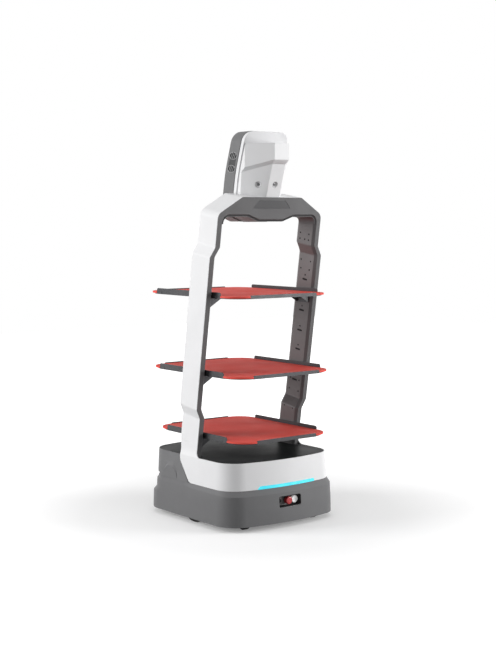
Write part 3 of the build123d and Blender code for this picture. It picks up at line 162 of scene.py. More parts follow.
def calculate(tree, operation, first, second):
    node = tree.nodes.new("ShaderNodeMath")
    node.operation = operation
    for socket, value in ((node.inputs[0], first), (node.inputs[1], second)):
        if isinstance(value, (int, float)):
            socket.default_value = value
        else:
            tree.links.new(value, socket)
    return node.outputs[0]


def bumpOf(tree, height, distance, strength=1.0, before=None):
    node = tree.nodes.new("ShaderNodeBump")
    node.inputs["Distance"].default_value = distance
    node.inputs["Strength"].default_value = strength
    tree.links.new(height, node.inputs["Height"])
    if before is not None:
        tree.links.new(before, node.inputs["Normal"])
    return node.outputs["Normal"]


def cloudShare(tree, vector, scale, detail=4.0, rough=0.6):
    # a soft cloud pattern, spread out from 0 to 1
    return spread(tree, noise(tree, vector, scale, detail, rough), 0.3, 0.7, 0.0, 1.0)


def edgeWear(tree, radius, low=0.02, high=0.25, samples=4):
    # worn edges: where a rounded normal leaves the real one
    rounded = tree.nodes.new("ShaderNodeBevel")
    rounded.samples = samples
    rounded.inputs["Radius"].default_value = radius
    geometry = tree.nodes.new("ShaderNodeNewGeometry")
    dot = tree.nodes.new("ShaderNodeVectorMath")
    dot.operation = "DOT_PRODUCT"
    tree.links.new(rounded.outputs["Normal"], dot.inputs[0])
    tree.links.new(geometry.outputs["Normal"], dot.inputs[1])
    away = calculate(tree, "SUBTRACT", 1.0, dot.outputs["Value"])
    return spread(tree, away, low, high, 0.0, 1.0)


# Materials: what a look leaves out comes from the defaults

plasticDefaults = {
    "cloudScale": 9.0,
    "smudgeScale": 14.0, "smudgeReach": (0.3, 0.72),
    "wearScale": 60.0, "wearReach": (0.45, 0.62),
    "grainStrength": 0.6, "waveStrength": 0.5,
    "coat": 0.0, "coatRough": 0.1, "specular": 0.22, "metal": 0.0,
    "glow": 0.0, "glowColour": (1.0, 1.0, 1.0),
}


def mouldedPlastic(name, ownLook):
    # moulded or painted surface: cloudy colour, fine grain in the bump, smudges in the roughness
    look = {**plasticDefaults, **ownLook}
    material, tree, shader = newMaterial(name)
    vector = coordinates(tree)
    cloud = cloudShare(tree, vector, look["cloudScale"])
    colour = blendColour(tree, cloud, look["colour"], look["colour2"])
    if "wear" in look:
        wear = look["wear"]
        worn = edgeWear(tree, wear["radius"])
        patches = noise(tree, vector, look["wearScale"])
        patches = spread(tree, patches, *look["wearReach"], 0.0, wear["amount"])
        colour = blendColour(tree, calculate(tree, "MULTIPLY", worn, patches), colour, wear["colour"])
    tree.links.new(colour, shader.inputs["Base Color"])
    smudge = noise(tree, vector, look["smudgeScale"], 5.0, 0.62)
    smoothest = look["rough"] - look["roughSpread"]
    roughest = look["rough"] + look["roughSpread"]
    rough = spread(tree, smudge, *look["smudgeReach"], smoothest, roughest)
    tree.links.new(rough, shader.inputs["Roughness"])
    grain = noise(tree, vector, look["grainScale"], 2.0)
    normal = bumpOf(tree, grain, look["grainDepth"], look["grainStrength"])
    if "waveDepth" in look:
        wave = noise(tree, vector, look["waveScale"], 1.0)
        normal = bumpOf(tree, wave, look["waveDepth"], look["waveStrength"], normal)
    tree.links.new(normal, shader.inputs["Normal"])
    shader.inputs["Coat Weight"].default_value = look["coat"]
    shader.inputs["Coat Roughness"].default_value = look["coatRough"]
    shader.inputs["Specular IOR Level"].default_value = look["specular"]
    shader.inputs["Metallic"].default_value = look["metal"]
    shader.inputs["Emission Color"].default_value = look["glowColour"] + (1.0,)
    shader.inputs["Emission Strength"].default_value = look["glow"]
    return material


plasticLooks = {
    "shellWhite": {
        "colour": (0.80, 0.80, 0.81), "colour2": (0.83, 0.83, 0.84), "rough": 0.34, "roughSpread": 0.05,
        "grainScale": 1400.0, "grainDepth": 0.00005, "coat": 0.10, "coatRough": 0.18,
        "waveDepth": 0.0006, "waveScale": 5.0,
    },
    "shellGrey": {
        "colour": (0.154, 0.154, 0.158), "colour2": (0.166, 0.166, 0.170), "rough": 0.55, "roughSpread": 0.06,
        "grainScale": 1100.0, "grainDepth": 0.00014,
    },
    "bezelGrey": {
        "colour": (0.112, 0.110, 0.113), "colour2": (0.124, 0.122, 0.125), "rough": 0.50, "roughSpread": 0.06,
        "grainScale": 1200.0, "grainDepth": 0.00010,
    },
    "plateGrey": {
        "colour": (0.070, 0.070, 0.073), "colour2": (0.080, 0.080, 0.083), "rough": 0.38, "roughSpread": 0.06,
        "grainScale": 1000.0, "grainDepth": 0.00006, "specular": 0.15,
    },
    # the faint red cast of this grey is a painted reflection of the red mats
    "panelGrey": {
        "colour": (0.118, 0.112, 0.114), "colour2": (0.132, 0.126, 0.128), "rough": 0.42, "roughSpread": 0.06,
        "grainScale": 900.0, "grainDepth": 0.00008, "metal": 0.15,
    },
    "headGrey": {
        "colour": (0.160, 0.160, 0.163), "colour2": (0.175, 0.175, 0.178), "rough": 0.52, "roughSpread": 0.05,
        "grainScale": 1100.0, "grainDepth": 0.00012,
    },
    "deckBlack": {
        "colour": (0.015, 0.016, 0.017), "colour2": (0.019, 0.020, 0.021), "rough": 0.46, "roughSpread": 0.06,
        "grainScale": 1500.0, "grainDepth": 0.00006, "smudgeScale": 8.0, "specular": 0.08,
    },
    "trayMetal": {
        "colour": (0.045, 0.045, 0.048), "colour2": (0.060, 0.060, 0.063), "rough": 0.42, "roughSpread": 0.07,
        "grainScale": 1600.0, "grainDepth": 0.00009, "metal": 0.3,
        "wear": {"radius": 0.0012, "amount": 0.5, "colour": (0.30, 0.30, 0.31)},
    },
    "darkPlastic": {
        "colour": (0.030, 0.030, 0.032), "colour2": (0.045, 0.045, 0.047), "rough": 0.48, "roughSpread": 0.08,
        "grainScale": 1200.0, "grainDepth": 0.00010,
    },
    "stopRed": {
        "colour": (0.420, 0.022, 0.026), "colour2": (0.480, 0.028, 0.032), "rough": 0.30, "roughSpread": 0.07,
        "grainScale": 900.0, "grainDepth": 0.00005, "coat": 0.3, "coatRough": 0.15, "specular": 0.5,
    },
    "buttonWhite": {
        "colour": (0.78, 0.79, 0.80), "colour2": (0.82, 0.83, 0.84), "rough": 0.26, "roughSpread": 0.05,
        "grainScale": 900.0, "grainDepth": 0.00004, "coat": 0.3, "coatRough": 0.12, "specular": 0.5,
        # the glow is painted light: it brightens the white cap against the shade of the recess
        "glow": 0.22,
    },
    "frameSteel": {
        "colour": (0.060, 0.060, 0.064), "colour2": (0.085, 0.085, 0.090), "rough": 0.46, "roughSpread": 0.10,
        "grainScale": 700.0, "grainDepth": 0.00012, "metal": 0.4,
        "wear": {"radius": 0.0015, "amount": 0.7, "colour": (0.38, 0.37, 0.36)},
    },
    "screwSteel": {
        "colour": (0.050, 0.050, 0.053), "colour2": (0.080, 0.080, 0.083), "rough": 0.32, "roughSpread": 0.10,
        "grainScale": 900.0, "grainDepth": 0.00006, "metal": 1.0,
    },
    "springSteel": {
        "colour": (0.42, 0.42, 0.43), "colour2": (0.52, 0.52, 0.53), "rough": 0.30, "roughSpread": 0.08,
        "grainScale": 900.0, "grainDepth": 0.00005, "metal": 1.0, "specular": 0.5,
    },
    "bareAluminium": {
        "colour": (0.60, 0.61, 0.63), "colour2": (0.68, 0.69, 0.70), "rough": 0.36, "roughSpread": 0.08,
        "grainScale": 800.0, "grainDepth": 0.00005, "metal": 1.0,
    },
    "tyreBlack": {
        "colour": (0.018, 0.018, 0.018), "colour2": (0.034, 0.033, 0.032), "rough": 0.78, "roughSpread": 0.10,
        "grainScale": 500.0, "grainDepth": 0.00025,
    },
    "hubBlack": {
        "colour": (0.07, 0.07, 0.073), "colour2": (0.09, 0.09, 0.093), "rough": 0.45, "roughSpread": 0.08,
        "grainScale": 900.0, "grainDepth": 0.00010,
    },
    "switchSteel": {
        "colour": (0.11, 0.11, 0.115), "colour2": (0.15, 0.15, 0.155), "rough": 0.30, "roughSpread": 0.08,
        "grainScale": 900.0, "grainDepth": 0.00005, "metal": 0.8,
    },
    "screenBlack": {
        "colour": (0.010, 0.010, 0.012), "colour2": (0.014, 0.014, 0.016), "rough": 0.07, "roughSpread": 0.03,
        "grainScale": 1500.0, "grainDepth": 0.00001, "coat": 0.5, "coatRough": 0.03, "specular": 0.5,
        "smudgeScale": 18.0,
    },
    "trimDark": {
        "colour": (0.040, 0.040, 0.042), "colour2": (0.050, 0.050, 0.052), "rough": 0.45, "roughSpread": 0.06,
        "grainScale": 1200.0, "grainDepth": 0.00008,
    },
    "grilleGrey": {
        "colour": (0.400, 0.400, 0.405), "colour2": (0.440, 0.440, 0.445), "rough": 0.45, "roughSpread": 0.06,
        "grainScale": 1100.0, "grainDepth": 0.00005,
    },
    "windowGrey": {
        "colour": (0.560, 0.560, 0.570), "colour2": (0.620, 0.620, 0.630), "rough": 0.28, "roughSpread": 0.06,
        "grainScale": 1100.0, "grainDepth": 0.00004, "coat": 0.3, "coatRough": 0.10, "specular": 0.5,
    },
    # painted light: a paler grey than the shell for the floor of the control recess, standing in for light
    # that falls short there
    "recessFloorPaintedLight": {
        "colour": (0.330, 0.320, 0.320), "colour2": (0.370, 0.360, 0.360), "rough": 0.52, "roughSpread": 0.06,
        "grainScale": 1100.0, "grainDepth": 0.00010,
    },
    # black: the key switch's own colour and the grille backings' colour, and painted shade on the recess
    # walls, in the panel holes and in their cups
    "blackAndPaintedShade": {
        "colour": (0.012, 0.012, 0.013), "colour2": (0.018, 0.018, 0.019), "rough": 0.50, "roughSpread": 0.06,
        "grainScale": 1200.0, "grainDepth": 0.00008, "specular": 0.08,
    },
    "innerBlack": {
        "colour": (0.016, 0.016, 0.017), "colour2": (0.024, 0.024, 0.025), "rough": 0.55, "roughSpread": 0.08,
        "grainScale": 900.0, "grainDepth": 0.00010, "specular": 0.08,
    },
    "lensDark": {
        "colour": (0.035, 0.036, 0.042), "colour2": (0.05, 0.05, 0.06), "rough": 0.10, "roughSpread": 0.03,
        "grainScale": 1500.0, "grainDepth": 0.00001, "coat": 0.8, "coatRough": 0.03, "specular": 0.5,
    },
}
materials = {name: mouldedPlastic(name, look) for name, look in plasticLooks.items()}


matLook = {
    "red": (0.80, 0.092, 0.072),
    "paler": (0.85, 0.106, 0.084),
    "mottleScale": 7.0,
    "dust": (0.80, 0.20, 0.16),
    "dustScale": 90.0, "dustReach": (0.62, 0.80), "dustShare": 0.35,
    "rough": (0.58, 0.74),
    "smudgeScale": 11.0, "smudgeReach": (0.3, 0.7),
    "weaveScale": 190.0,
    "weaveDepth": 0.00012,
    "grainScale": 900.0,
    "reliefStrength": 0.5,
    "specular": 0.15,
}


def matRubber():
    # red tray mat: matte, faintly mottled, with a very fine woven relief
    material, tree, shader = newMaterial("matRed")
    vector = coordinates(tree)
    mottle = cloudShare(tree, vector, matLook["mottleScale"], 5.0)
    colour = blendColour(tree, mottle, matLook["red"], matLook["paler"])
    dust = noise(tree, vector, matLook["dustScale"], 4.0, 0.7)
    dust = spread(tree, dust, *matLook["dustReach"], 0.0, matLook["dustShare"])
    colour = blendColour(tree, dust, colour, matLook["dust"])
    tree.links.new(colour, shader.inputs["Base Color"])
    smudge = noise(tree, vector, matLook["smudgeScale"], 5.0)
    rough = spread(tree, smudge, *matLook["smudgeReach"], *matLook["rough"])
    tree.links.new(rough, shader.inputs["Roughness"])
    threads = []
    for direction in ("X", "Y"):
        wave = tree.nodes.new("ShaderNodeTexWave")
        wave.bands_direction = direction
        wave.inputs["Scale"].default_value = matLook["weaveScale"]
        tree.links.new(vector, wave.inputs["Vector"])
        threads.append(wave.outputs["Fac"])
    weave = calculate(tree, "MULTIPLY", *threads)
    normal = bumpOf(tree, weave, matLook["weaveDepth"], matLook["reliefStrength"])
    grain = noise(tree, vector, matLook["grainScale"], 2.0)
    normal = bumpOf(tree, grain, matLook["weaveDepth"], matLook["reliefStrength"], normal)
    tree.links.new(normal, shader.inputs["Normal"])
    shader.inputs["Specular IOR Level"].default_value = matLook["specular"]
    return material


stripLook = {
    "deep": (0.030, 0.55, 0.66),
    "pale": (0.055, 0.64, 0.74),
    "rippleScale": 30.0,
    "glow": 0.60,
    "rough": 0.3,
}


def stripLight():
    # light guide: an even glow with a faint ripple of paler blue-green
    material, tree, shader = newMaterial("stripGlow")
    ripple = cloudShare(tree, coordinates(tree), stripLook["rippleScale"], 3.0, 0.5)
    colour = blendColour(tree, ripple, stripLook["deep"], stripLook["pale"])
    tree.links.new(colour, shader.inputs["Base Color"])
    tree.links.new(colour, shader.inputs["Emission Color"])
    shader.inputs["Emission Strength"].default_value = stripLook["glow"]
    shader.inputs["Roughness"].default_value = stripLook["rough"]
    return material


materials["matRed"] = matRubber()
materials["stripGlow"] = stripLight()
print("materials made:", len(materials))


# Which look a material slot has, and the nodes that differ from their slot

slotLooks = {
    "grey_shell": "shellGrey", "white_shell": "shellWhite", "grey_bezel": "bezelGrey",
    "grey_panel": "panelGrey", "grey_head": "headGrey",
    "black_deck": "deckBlack", "red_mat": "matRed", "tray_metal": "trayMetal",
    "screw_steel": "screwSteel", "frame_steel": "frameSteel", "bare_aluminium": "bareAluminium",
    "spring_steel": "springSteel", "hub_plastic": "hubBlack", "drive_tyre": "tyreBlack",
    "caster_rubber": "tyreBlack", "dark_plastic": "darkPlastic", "red_plastic": "stopRed",
    "white_button": "buttonWhite", "switch_metal": "switchSteel", "screen_glass": "screenBlack",
    "lens_glass": "lensDark", "light": "stripGlow",
}
slotOf = {row["node"]: row["material_slot"] for row in frame["record"]["subparts"]}
nodeLooks = {
    "inner_frame": "innerBlack", "side_trims": "trimDark", "nameplate": "plateGrey",
    "key_switch": "blackAndPaintedShade", "control_panel": "recessFloorPaintedLight",
}
for name in nodes:
    nodeLooks.setdefault(name, slotLooks[slotOf[name]])
for name, obj in nodes.items():
    obj.data.materials.clear()
    obj.data.materials.append(materials[nodeLooks[name]])


# Mesh helpers

def finishPiece(name, bm, look, body, sharpAngle=35.0):
    # makes a piece of a bmesh, smooth except where it really folds; without a body it is left unattached
    bmesh.ops.recalc_face_normals(bm, faces=bm.faces)
    limit = math.radians(sharpAngle)
    for face in bm.faces:
        face.smooth = True
    for edge in bm.edges:
        edge.smooth = len(edge.link_faces) == 2 and edge.calc_face_angle(0.0) < limit
    mesh = bpy.data.meshes.new(name)
    bm.to_mesh(mesh)
    bm.free()
    obj = bpy.data.objects.new(name, mesh)
    bpy.context.scene.collection.objects.link(obj)
    mesh.materials.append(materials[look])
    if body:
        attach(obj, body)
    return obj


def bodyOf(node):
    return nodes[node]["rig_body"]


# The grey flanks run flush from the skirt to the deck behind the white feet, above a rear bumper

flanks = {
    "levels": ((0.1210, 0.2430), (0.1388, 0.2365), (0.2314, 0.2330)),   # height, half width of the solids
    "footEdge": ((-0.0058, 0.1390), (0.0520, 0.2130)),                  # rear edge of a white foot: back, up
    "fade": 0.030,                                                      # from the foot to the full width
    "rearStart": 0.050,                                                 # behind the base's middle
    "rearFull": 0.190,
    "rearShift": {                                                      # height, shift along Y
        "lower_shell": (
            (0.0800, 0.0), (0.0960, -0.0180), (0.1210, -0.0180), (0.1265, -0.0145), (0.1272, -0.0195),
            (0.1388, -0.0155),
        ),
        "rear_cover": ((0.1392, -0.0100), (0.1500, -0.0090), (0.2220, 0.0)),
    },
    "levelCuts": {
        "lower_shell": (0.0800, 0.0960, 0.1265, 0.1272),
        "rear_cover": (0.1600, 0.1850, 0.2050, 0.2220),
    },
    "backCuts": (-0.012, 0.0, 0.012, 0.024, 0.036, 0.048, 0.060, 0.072, 0.084),
}


def readTable(table, value):
    if value <= table[0][0]:
        return table[0][1]
    for (low, first), (high, second) in zip(table, table[1:]):
        if value <= high:
            return first + (second - first) * (value - low) / (high - low)
    return table[-1][1]


def smoothShare(share):
    share = min(max(share, 0.0), 1.0)
    return share * share * (3 - 2 * share)


def flushFlanks(bm, node):
    # cuts the mesh where it has to bend, then widens its sides and shapes its rear
    cuts = [((0, 0, z), (0, 0, 1)) for z in flanks["levelCuts"][node]]
    cuts += [((0, robot["baseY"] + y, 0), (0, 1, 0)) for y in flanks["backCuts"]]
    for place, normal in cuts:
        geometry = bm.verts[:] + bm.edges[:] + bm.faces[:]
        bmesh.ops.bisect_plane(bm, geom=geometry, plane_co=place, plane_no=normal)
    (backLow, low), (backHigh, high) = flanks["footEdge"]
    taper = (flanks["levels"][0], flanks["levels"][-1])
    for vert in bm.verts:
        z = vert.co.z
        back = vert.co.y - robot["baseY"]
        edge = min(backLow + (backHigh - backLow) * (z - low) / (high - low), backHigh)
        solid = readTable(flanks["levels"], z)
        grow = readTable(taper, z) / solid - 1
        vert.co.x *= 1 + grow * smoothShare((back - edge) / flanks["fade"])
        rear = smoothShare((back - flanks["rearStart"]) / (flanks["rearFull"] - flanks["rearStart"]))
        vert.co.y += rear * readTable(flanks["rearShift"][node], z)


def softened(node, width, segments=2, angle=28.0, flat=1.2):
    # copy of a CAD node with its doubled points merged and its folds rounded over
    bm = bmesh.new()
    bm.from_mesh(nodes[node].data)
    bmesh.ops.remove_doubles(bm, verts=bm.verts, dist=0.00001)
    bmesh.ops.dissolve_limit(
        bm, angle_limit=math.radians(flat), use_dissolve_boundaries=False, verts=bm.verts, edges=bm.edges
    )
    if node in flanks["levelCuts"]:
        flushFlanks(bm, node)
    folds = [e for e in bm.edges if len(e.link_faces) == 2 and e.calc_face_angle(0.0) > math.radians(angle)]
    bmesh.ops.bevel(
        bm, geom=folds, offset=width, offset_type="OFFSET", segments=segments, profile=0.5,
        affect="EDGES", clamp_overlap=True, material=-1,
    )
    bmesh.ops.triangulate(bm, faces=[f for f in bm.faces if len(f.verts) > 4])
    piece = finishPiece(node + "_soft", bm, nodeLooks[node], bodyOf(node))
    weighted = piece.modifiers.new("faceWeights", "WEIGHTED_NORMAL")
    weighted.keep_sharp = True
    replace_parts(piece, node)


softEdges = {                               # node and the width of its rounded edges
    "tray_top_mat": 0.0014, "tray_middle_mat": 0.0014, "tray_bottom_mat": 0.0014,
    "tray_top_pan": 0.0005, "tray_middle_pan": 0.0005, "tray_bottom_pan": 0.0005,
    "tray_top_lips": 0.0009, "tray_middle_lips": 0.0009, "tray_bottom_lips": 0.0009,
    "tray_top_brackets": 0.0006, "tray_middle_brackets": 0.0006, "tray_bottom_brackets": 0.0006,
    "lower_shell": 0.0012, "rear_cover": 0.0010, "top_deck": 0.0008, "visor": 0.0022,
    "head_front_shell": 0.0010, "control_panel": 0.0004, "key_switch": 0.0003,
    "e_stop_collar": 0.0004, "side_trims": 0.0003,
    "caster_mounts": 0.0005, "wheel_left": 0.0008, "wheel_right": 0.0008,
    "drive_arm_left": 0.0006, "drive_arm_right": 0.0006, "battery_pack": 0.0012, "main_controller": 0.0005,
    "caster_fork_front_left": 0.0005, "caster_fork_front_right": 0.0005,
    "caster_fork_rear_left": 0.0005, "caster_fork_rear_right": 0.0005,
    "leg_panel_left": 0.0009, "leg_panel_right": 0.0009,
}
for node, width in softEdges.items():
    softened(node, width)
print("edges softened:", len(softEdges))


# Painted shade: the walls and rims of the holes and slots in the leg panels are coloured black for the shade
# inside them

panelHoles = {
    "depth": (0.014, 0.084),                # the part of the panel that holds them
    "up": (0.120, 0.775),
    "rimArea": 0.000022,                    # faces smaller than this are rims
    "flatNormal": 0.97,
    "wallNormal": 0.6,
}
for ending in ("left", "right"):
    legPanel = bpy.data.objects["leg_panel_" + ending + "_soft"]
    legPanel.data.materials.append(materials["blackAndPaintedShade"])
    for face in legPanel.data.polygons:
        depth, up = archPlace(face.center)
        inside = panelHoles["depth"][0] < depth < panelHoles["depth"][1]
        inside = inside and panelHoles["up"][0] < up < panelHoles["up"][1]
        rim = abs(face.normal.x) < panelHoles["flatNormal"] and face.area < panelHoles["rimArea"]
        if inside and (rim or abs(face.normal.x) < panelHoles["wallNormal"]):
            face.material_index = 1
print("panel holes darkened")


# Shape helpers for the pieces made here; profiles are in millimetres, radius first

def turned(profile, steps=64, closed=False):
    # solid of revolution about Z, open profiles start and end on the axis
    bm = bmesh.new()
    verts = [bm.verts.new((radius / 1000, 0.0, height / 1000)) for radius, height in profile]
    ends = verts[1:] + verts[:1] if closed else verts[1:]
    edges = [bm.edges.new(pair) for pair in zip(verts, ends)]
    bmesh.ops.spin(
        bm, geom=verts + edges, cent=(0, 0, 0), axis=(0, 0, 1), angle=math.tau, steps=steps, use_merge=True
    )
    bmesh.ops.remove_doubles(bm, verts=bm.verts, dist=0.000005)
    return bm


def stretched(bm, share):
    # makes an oval of a round by drawing it out along X
    bmesh.ops.scale(bm, vec=(share, 1.0, 1.0), verts=bm.verts)
    return bm


def putAt(bm, centre, axis, roll=0.0):
    # points the shape's own Z along axis and moves it to centre
    turn = Vector(axis).to_track_quat("Z", "Y").to_matrix().to_4x4()
    place = Matrix.Translation(centre) @ turn @ Matrix.Rotation(roll, 4, "Z")
    bmesh.ops.transform(bm, matrix=place, verts=bm.verts)
    return bm


def joined(parts):
    whole = bmesh.new()
    for part in parts:
        mesh = bpy.data.meshes.new("part")
        part.to_mesh(mesh)
        part.free()
        whole.from_mesh(mesh)
        bpy.data.meshes.remove(mesh)
    return whole


def bar(size, width):
    # bevelled bar centred on its own middle
    bm = bmesh.new()
    bmesh.ops.create_cube(bm, size=1.0)
    bmesh.ops.scale(bm, vec=size, verts=bm.verts)
    bmesh.ops.bevel(
        bm, geom=bm.edges[:], offset=width, segments=2, profile=0.5, affect="EDGES",
        clamp_overlap=True, material=-1,
    )
    return bm


# Painted shade: black cups that close the holes and slots of the leg panels, standing for the shade inside
# them

shadeCups = {
    "rows": (                               # up the leg, depth of the near and the far hole
        (0.7660, 0.0257, 0.0725), (0.7455, 0.0257, 0.0720), (0.6685, 0.0240, 0.0760),
        (0.6375, 0.0270, 0.0730), (0.2333, 0.0210, 0.0700), (0.1930, 0.0200, 0.0710),
        (0.1300, 0.0220, 0.0690),
    ),
    "middle": 0.0460,                       # depth of the single holes and the slots
    "holes": (0.7455, 0.6170, 0.5040, 0.4300, 0.3600, 0.2470),
    "slots": (0.6010, 0.4886, 0.4150, 0.3450, 0.2313),
    "slotHalf": 0.0098,
    "cup": (                                # profile in millimetres
        (0, -0.9), (2.4, -0.9), (2.4, 0.1), (2.6, 0.2), (3.1, 0.2), (3.2, 0.1), (3.2, -0.1), (2.5, -0.1),
        (2.5, -1.2), (0, -1.2),
    ),
    "steps": 22,
    "onAxis": 0.000001,                     # points closer to the axis than this stay there
    "beside": 0.0055,                       # how far above a hole the panel's face is felt for
}
spots = [(depth, up, 0.0) for up, near, far in shadeCups["rows"] for depth in (near, far)]
spots += [(shadeCups["middle"], up, 0.0) for up in shadeCups["holes"]]
spots += [(shadeCups["middle"], up, shadeCups["slotHalf"]) for up in shadeCups["slots"]]
cups = []
for ending, side in (("left", -1), ("right", 1)):
    panelMesh = bmesh.new()
    panelMesh.from_mesh(nodes["leg_panel_" + ending].data)
    panelTree = BVHTree.FromBMesh(panelMesh)
    panelMesh.free()
    for depth, up, half in spots:
        hit = panelTree.ray_cast(archPoint(0, depth, up + shadeCups["beside"]), Vector((side, 0, 0)))[0]
        if hit is None:
            continue
        cup = turned(shadeCups["cup"], shadeCups["steps"])
        for vert in cup.verts:
            if abs(vert.co.x) > shadeCups["onAxis"]:
                vert.co.x += math.copysign(half, vert.co.x)
        back = archPoint(0, 1, 0) - archPoint(0, 0, 0)
        inward = Vector((-side, 0, 0))
        turn = Matrix((back, inward.cross(back), inward)).transposed().to_4x4()
        place = Matrix.Translation(archPoint(hit.x, depth, up))
        bmesh.ops.transform(cup, matrix=place @ turn, verts=cup.verts)
        cups.append(cup)
shadeCupCount = len(cups)
finishPiece("panel_shade_cups", joined(cups), "blackAndPaintedShade", "chassis")
print("panel bushes made:", shadeCupCount)


# Controls in the front recess

controls = {
    "floorFrom": -0.2560,                   # faces behind this are the floor of the recess
    "floorNormal": 0.5,
    "stopSteps": 72,
    "axis": (0, -1, 0),
    "stopPlace": (0.0010, -0.2473, 0.0893),
    "stopHead": (
        (0, 0), (5, 0), (5, 21), (11.5, 21), (11.5, 12.9), (12.0, 12.5), (12.9, 12.5), (13.5, 13.2),
        (13.5, 23.5), (13.2, 25.0), (12.33, 26.33), (11.0, 27.2), (9.4, 27.5), (8.6, 27.5), (8.3, 27.1),
        (7.6, 27.1), (7.3, 27.4), (0, 27.5),
    ),
    "pushPlace": (0.0325, -0.2443, 0.0893),
    "pushCap": (
        (0, 0), (9.1, 0), (9.1, 12.4), (12.1, 12.4), (12.5, 12.8), (12.5, 19.2), (12.15, 20.05),
        (11.3, 20.4), (10.2, 20.4), (9.8, 19.9), (9.2, 19.9), (8.4, 19.8), (4.5, 19.3), (0, 19.1),
    ),
    "ringPlace": (0.0325, -0.2533, 0.0893),
    "ring": ((12.9, 0), (14.6, 0), (14.6, 1.3), (14.1, 1.9), (13.4, 1.9), (12.9, 1.4)),
}
stopHead = turned(controls["stopHead"], controls["stopSteps"])
stopHead = putAt(stopHead, controls["stopPlace"], controls["axis"])
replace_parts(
    finishPiece("stop_mushroom", stopHead, "stopRed", "e_stop"), "e_stop_button"
)
pushCap = putAt(turned(controls["pushCap"]), controls["pushPlace"], controls["axis"])
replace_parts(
    finishPiece("push_button_cap", pushCap, "buttonWhite", "power_key"), "power_button"
)
pushRing = putAt(turned(controls["ring"], closed=True), controls["ringPlace"], controls["axis"])
finishPiece("push_button_ring", pushRing, "switchSteel", "chassis")

# Painted light and shade in the control recess: the floor gets the paler grey, and the walls get black for
# their shade
panel = bpy.data.objects["control_panel_soft"]
panel.data.materials.append(materials["blackAndPaintedShade"])
for face in panel.data.polygons:
    onFloor = abs(face.normal.y) > controls["floorNormal"] and face.center.y > controls["floorFrom"]
    face.material_index = 0 if onFloor else 1
print("controls made")


# Camera windows: a funnel ring with its lens in each facet of the lower housing

windows = {
    "front": {"place": (0.0, -0.19121, 1.16375), "turn": 0.0, "dip": math.radians(16.697)},
    "flank": {"place": (0.0490, -0.16465, 1.16336), "turn": math.radians(50.389), "dip": math.radians(7.857)},
    "funnel": (
        (11.3, -3.0), (11.3, 1.7), (10.9, 2.2), (10.2, 2.2), (9.8, 1.6), (5.4, -1.4), (5.0, -1.9),
        (5.0, -3.0),
    ),
    "lens": ((0, -3.0), (4.9, -3.0), (4.9, -2.1), (4.2, -1.6), (2.6, -1.1), (0, -0.9)),
    "barrel": ((0, -12.0), (7.9, -12.0), (7.9, -3.1), (0, -3.1)),
    "steps": {"funnel": 56, "lens": 48, "barrel": 32},
}
funnels, lenses = [], []
for facet, side in (("front", 1), ("flank", 1), ("flank", -1)):
    x, y, z = windows[facet]["place"]
    place = (side * x, y, z)
    turn, dip = windows[facet]["turn"], windows[facet]["dip"]
    axis = (side * math.sin(turn) * math.cos(dip), -math.cos(turn) * math.cos(dip), -math.sin(dip))
    steps = windows["steps"]
    funnels.append(putAt(turned(windows["funnel"], steps["funnel"], closed=True), place, axis))
    for shape in ("lens", "barrel"):
        lenses.append(putAt(turned(windows[shape], steps[shape]), place, axis))
funnelRings = finishPiece("window_funnels", joined(funnels), "windowGrey", "chassis")
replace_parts(funnelRings, "camera_windows")
lensGlasses = finishPiece("window_lenses", joined(lenses), "lensDark", "chassis")
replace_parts(lensGlasses, "camera_windows")
print("camera windows made")


# Side grilles: rim, backing and slanted slats, two on each flank of the head

grilles = {
    "centres": ((-0.0867, 1.2615), (-0.0749, 1.2175)),                  # Y and Z
    "faceX": 0.0963,
    "oval": 1.66,                                                       # length of the oval to its height
    "rim": ((11.6, -0.6), (13.1, -0.6), (13.1, 0.1), (12.8, 0.6), (11.9, 0.6), (11.6, 0.3)),
    "backing": ((0, -1.0), (12.2, -1.0), (12.2, 0.1), (0, 0.1)),
    "steps": 48,
    "slat": (0.0020, 0.0010),                                           # width and height
    "slatEdge": 0.0003,
    "slatPitch": 0.0085,
    "slatTurn": math.radians(60),
    "slatCount": 3,
    "slatLift": 0.0001,
    "slatStep": 0.0002,                                                 # fineness of the search for its ends
    "inner": 0.0117,                                                    # inner radius of the rim
}


def slatEnds(offset):
    # how far a slanted slat reaches each way before it meets the rim
    turn = grilles["slatTurn"]
    reach = []
    for way in (-1, 1):
        length = 0.0
        while True:
            u = offset / math.sin(turn) + way * length * math.cos(turn)
            v = way * length * math.sin(turn)
            if math.hypot(u / grilles["oval"], v) > grilles["inner"]:
                break
            length += grilles["slatStep"]
        reach.append(length)
    return reach


def slantedSlat(offset):
    back, fore = slatEnds(offset)
    slat = bar((back + fore, *grilles["slat"]), grilles["slatEdge"])
    middle = Matrix.Translation((offset / math.sin(grilles["slatTurn"]), 0, grilles["slatLift"]))
    turn = Matrix.Rotation(grilles["slatTurn"], 4, "Z")
    shift = Matrix.Translation(((fore - back) / 2, 0, 0))
    bmesh.ops.transform(slat, matrix=middle @ turn @ shift, verts=slat.verts)
    return slat


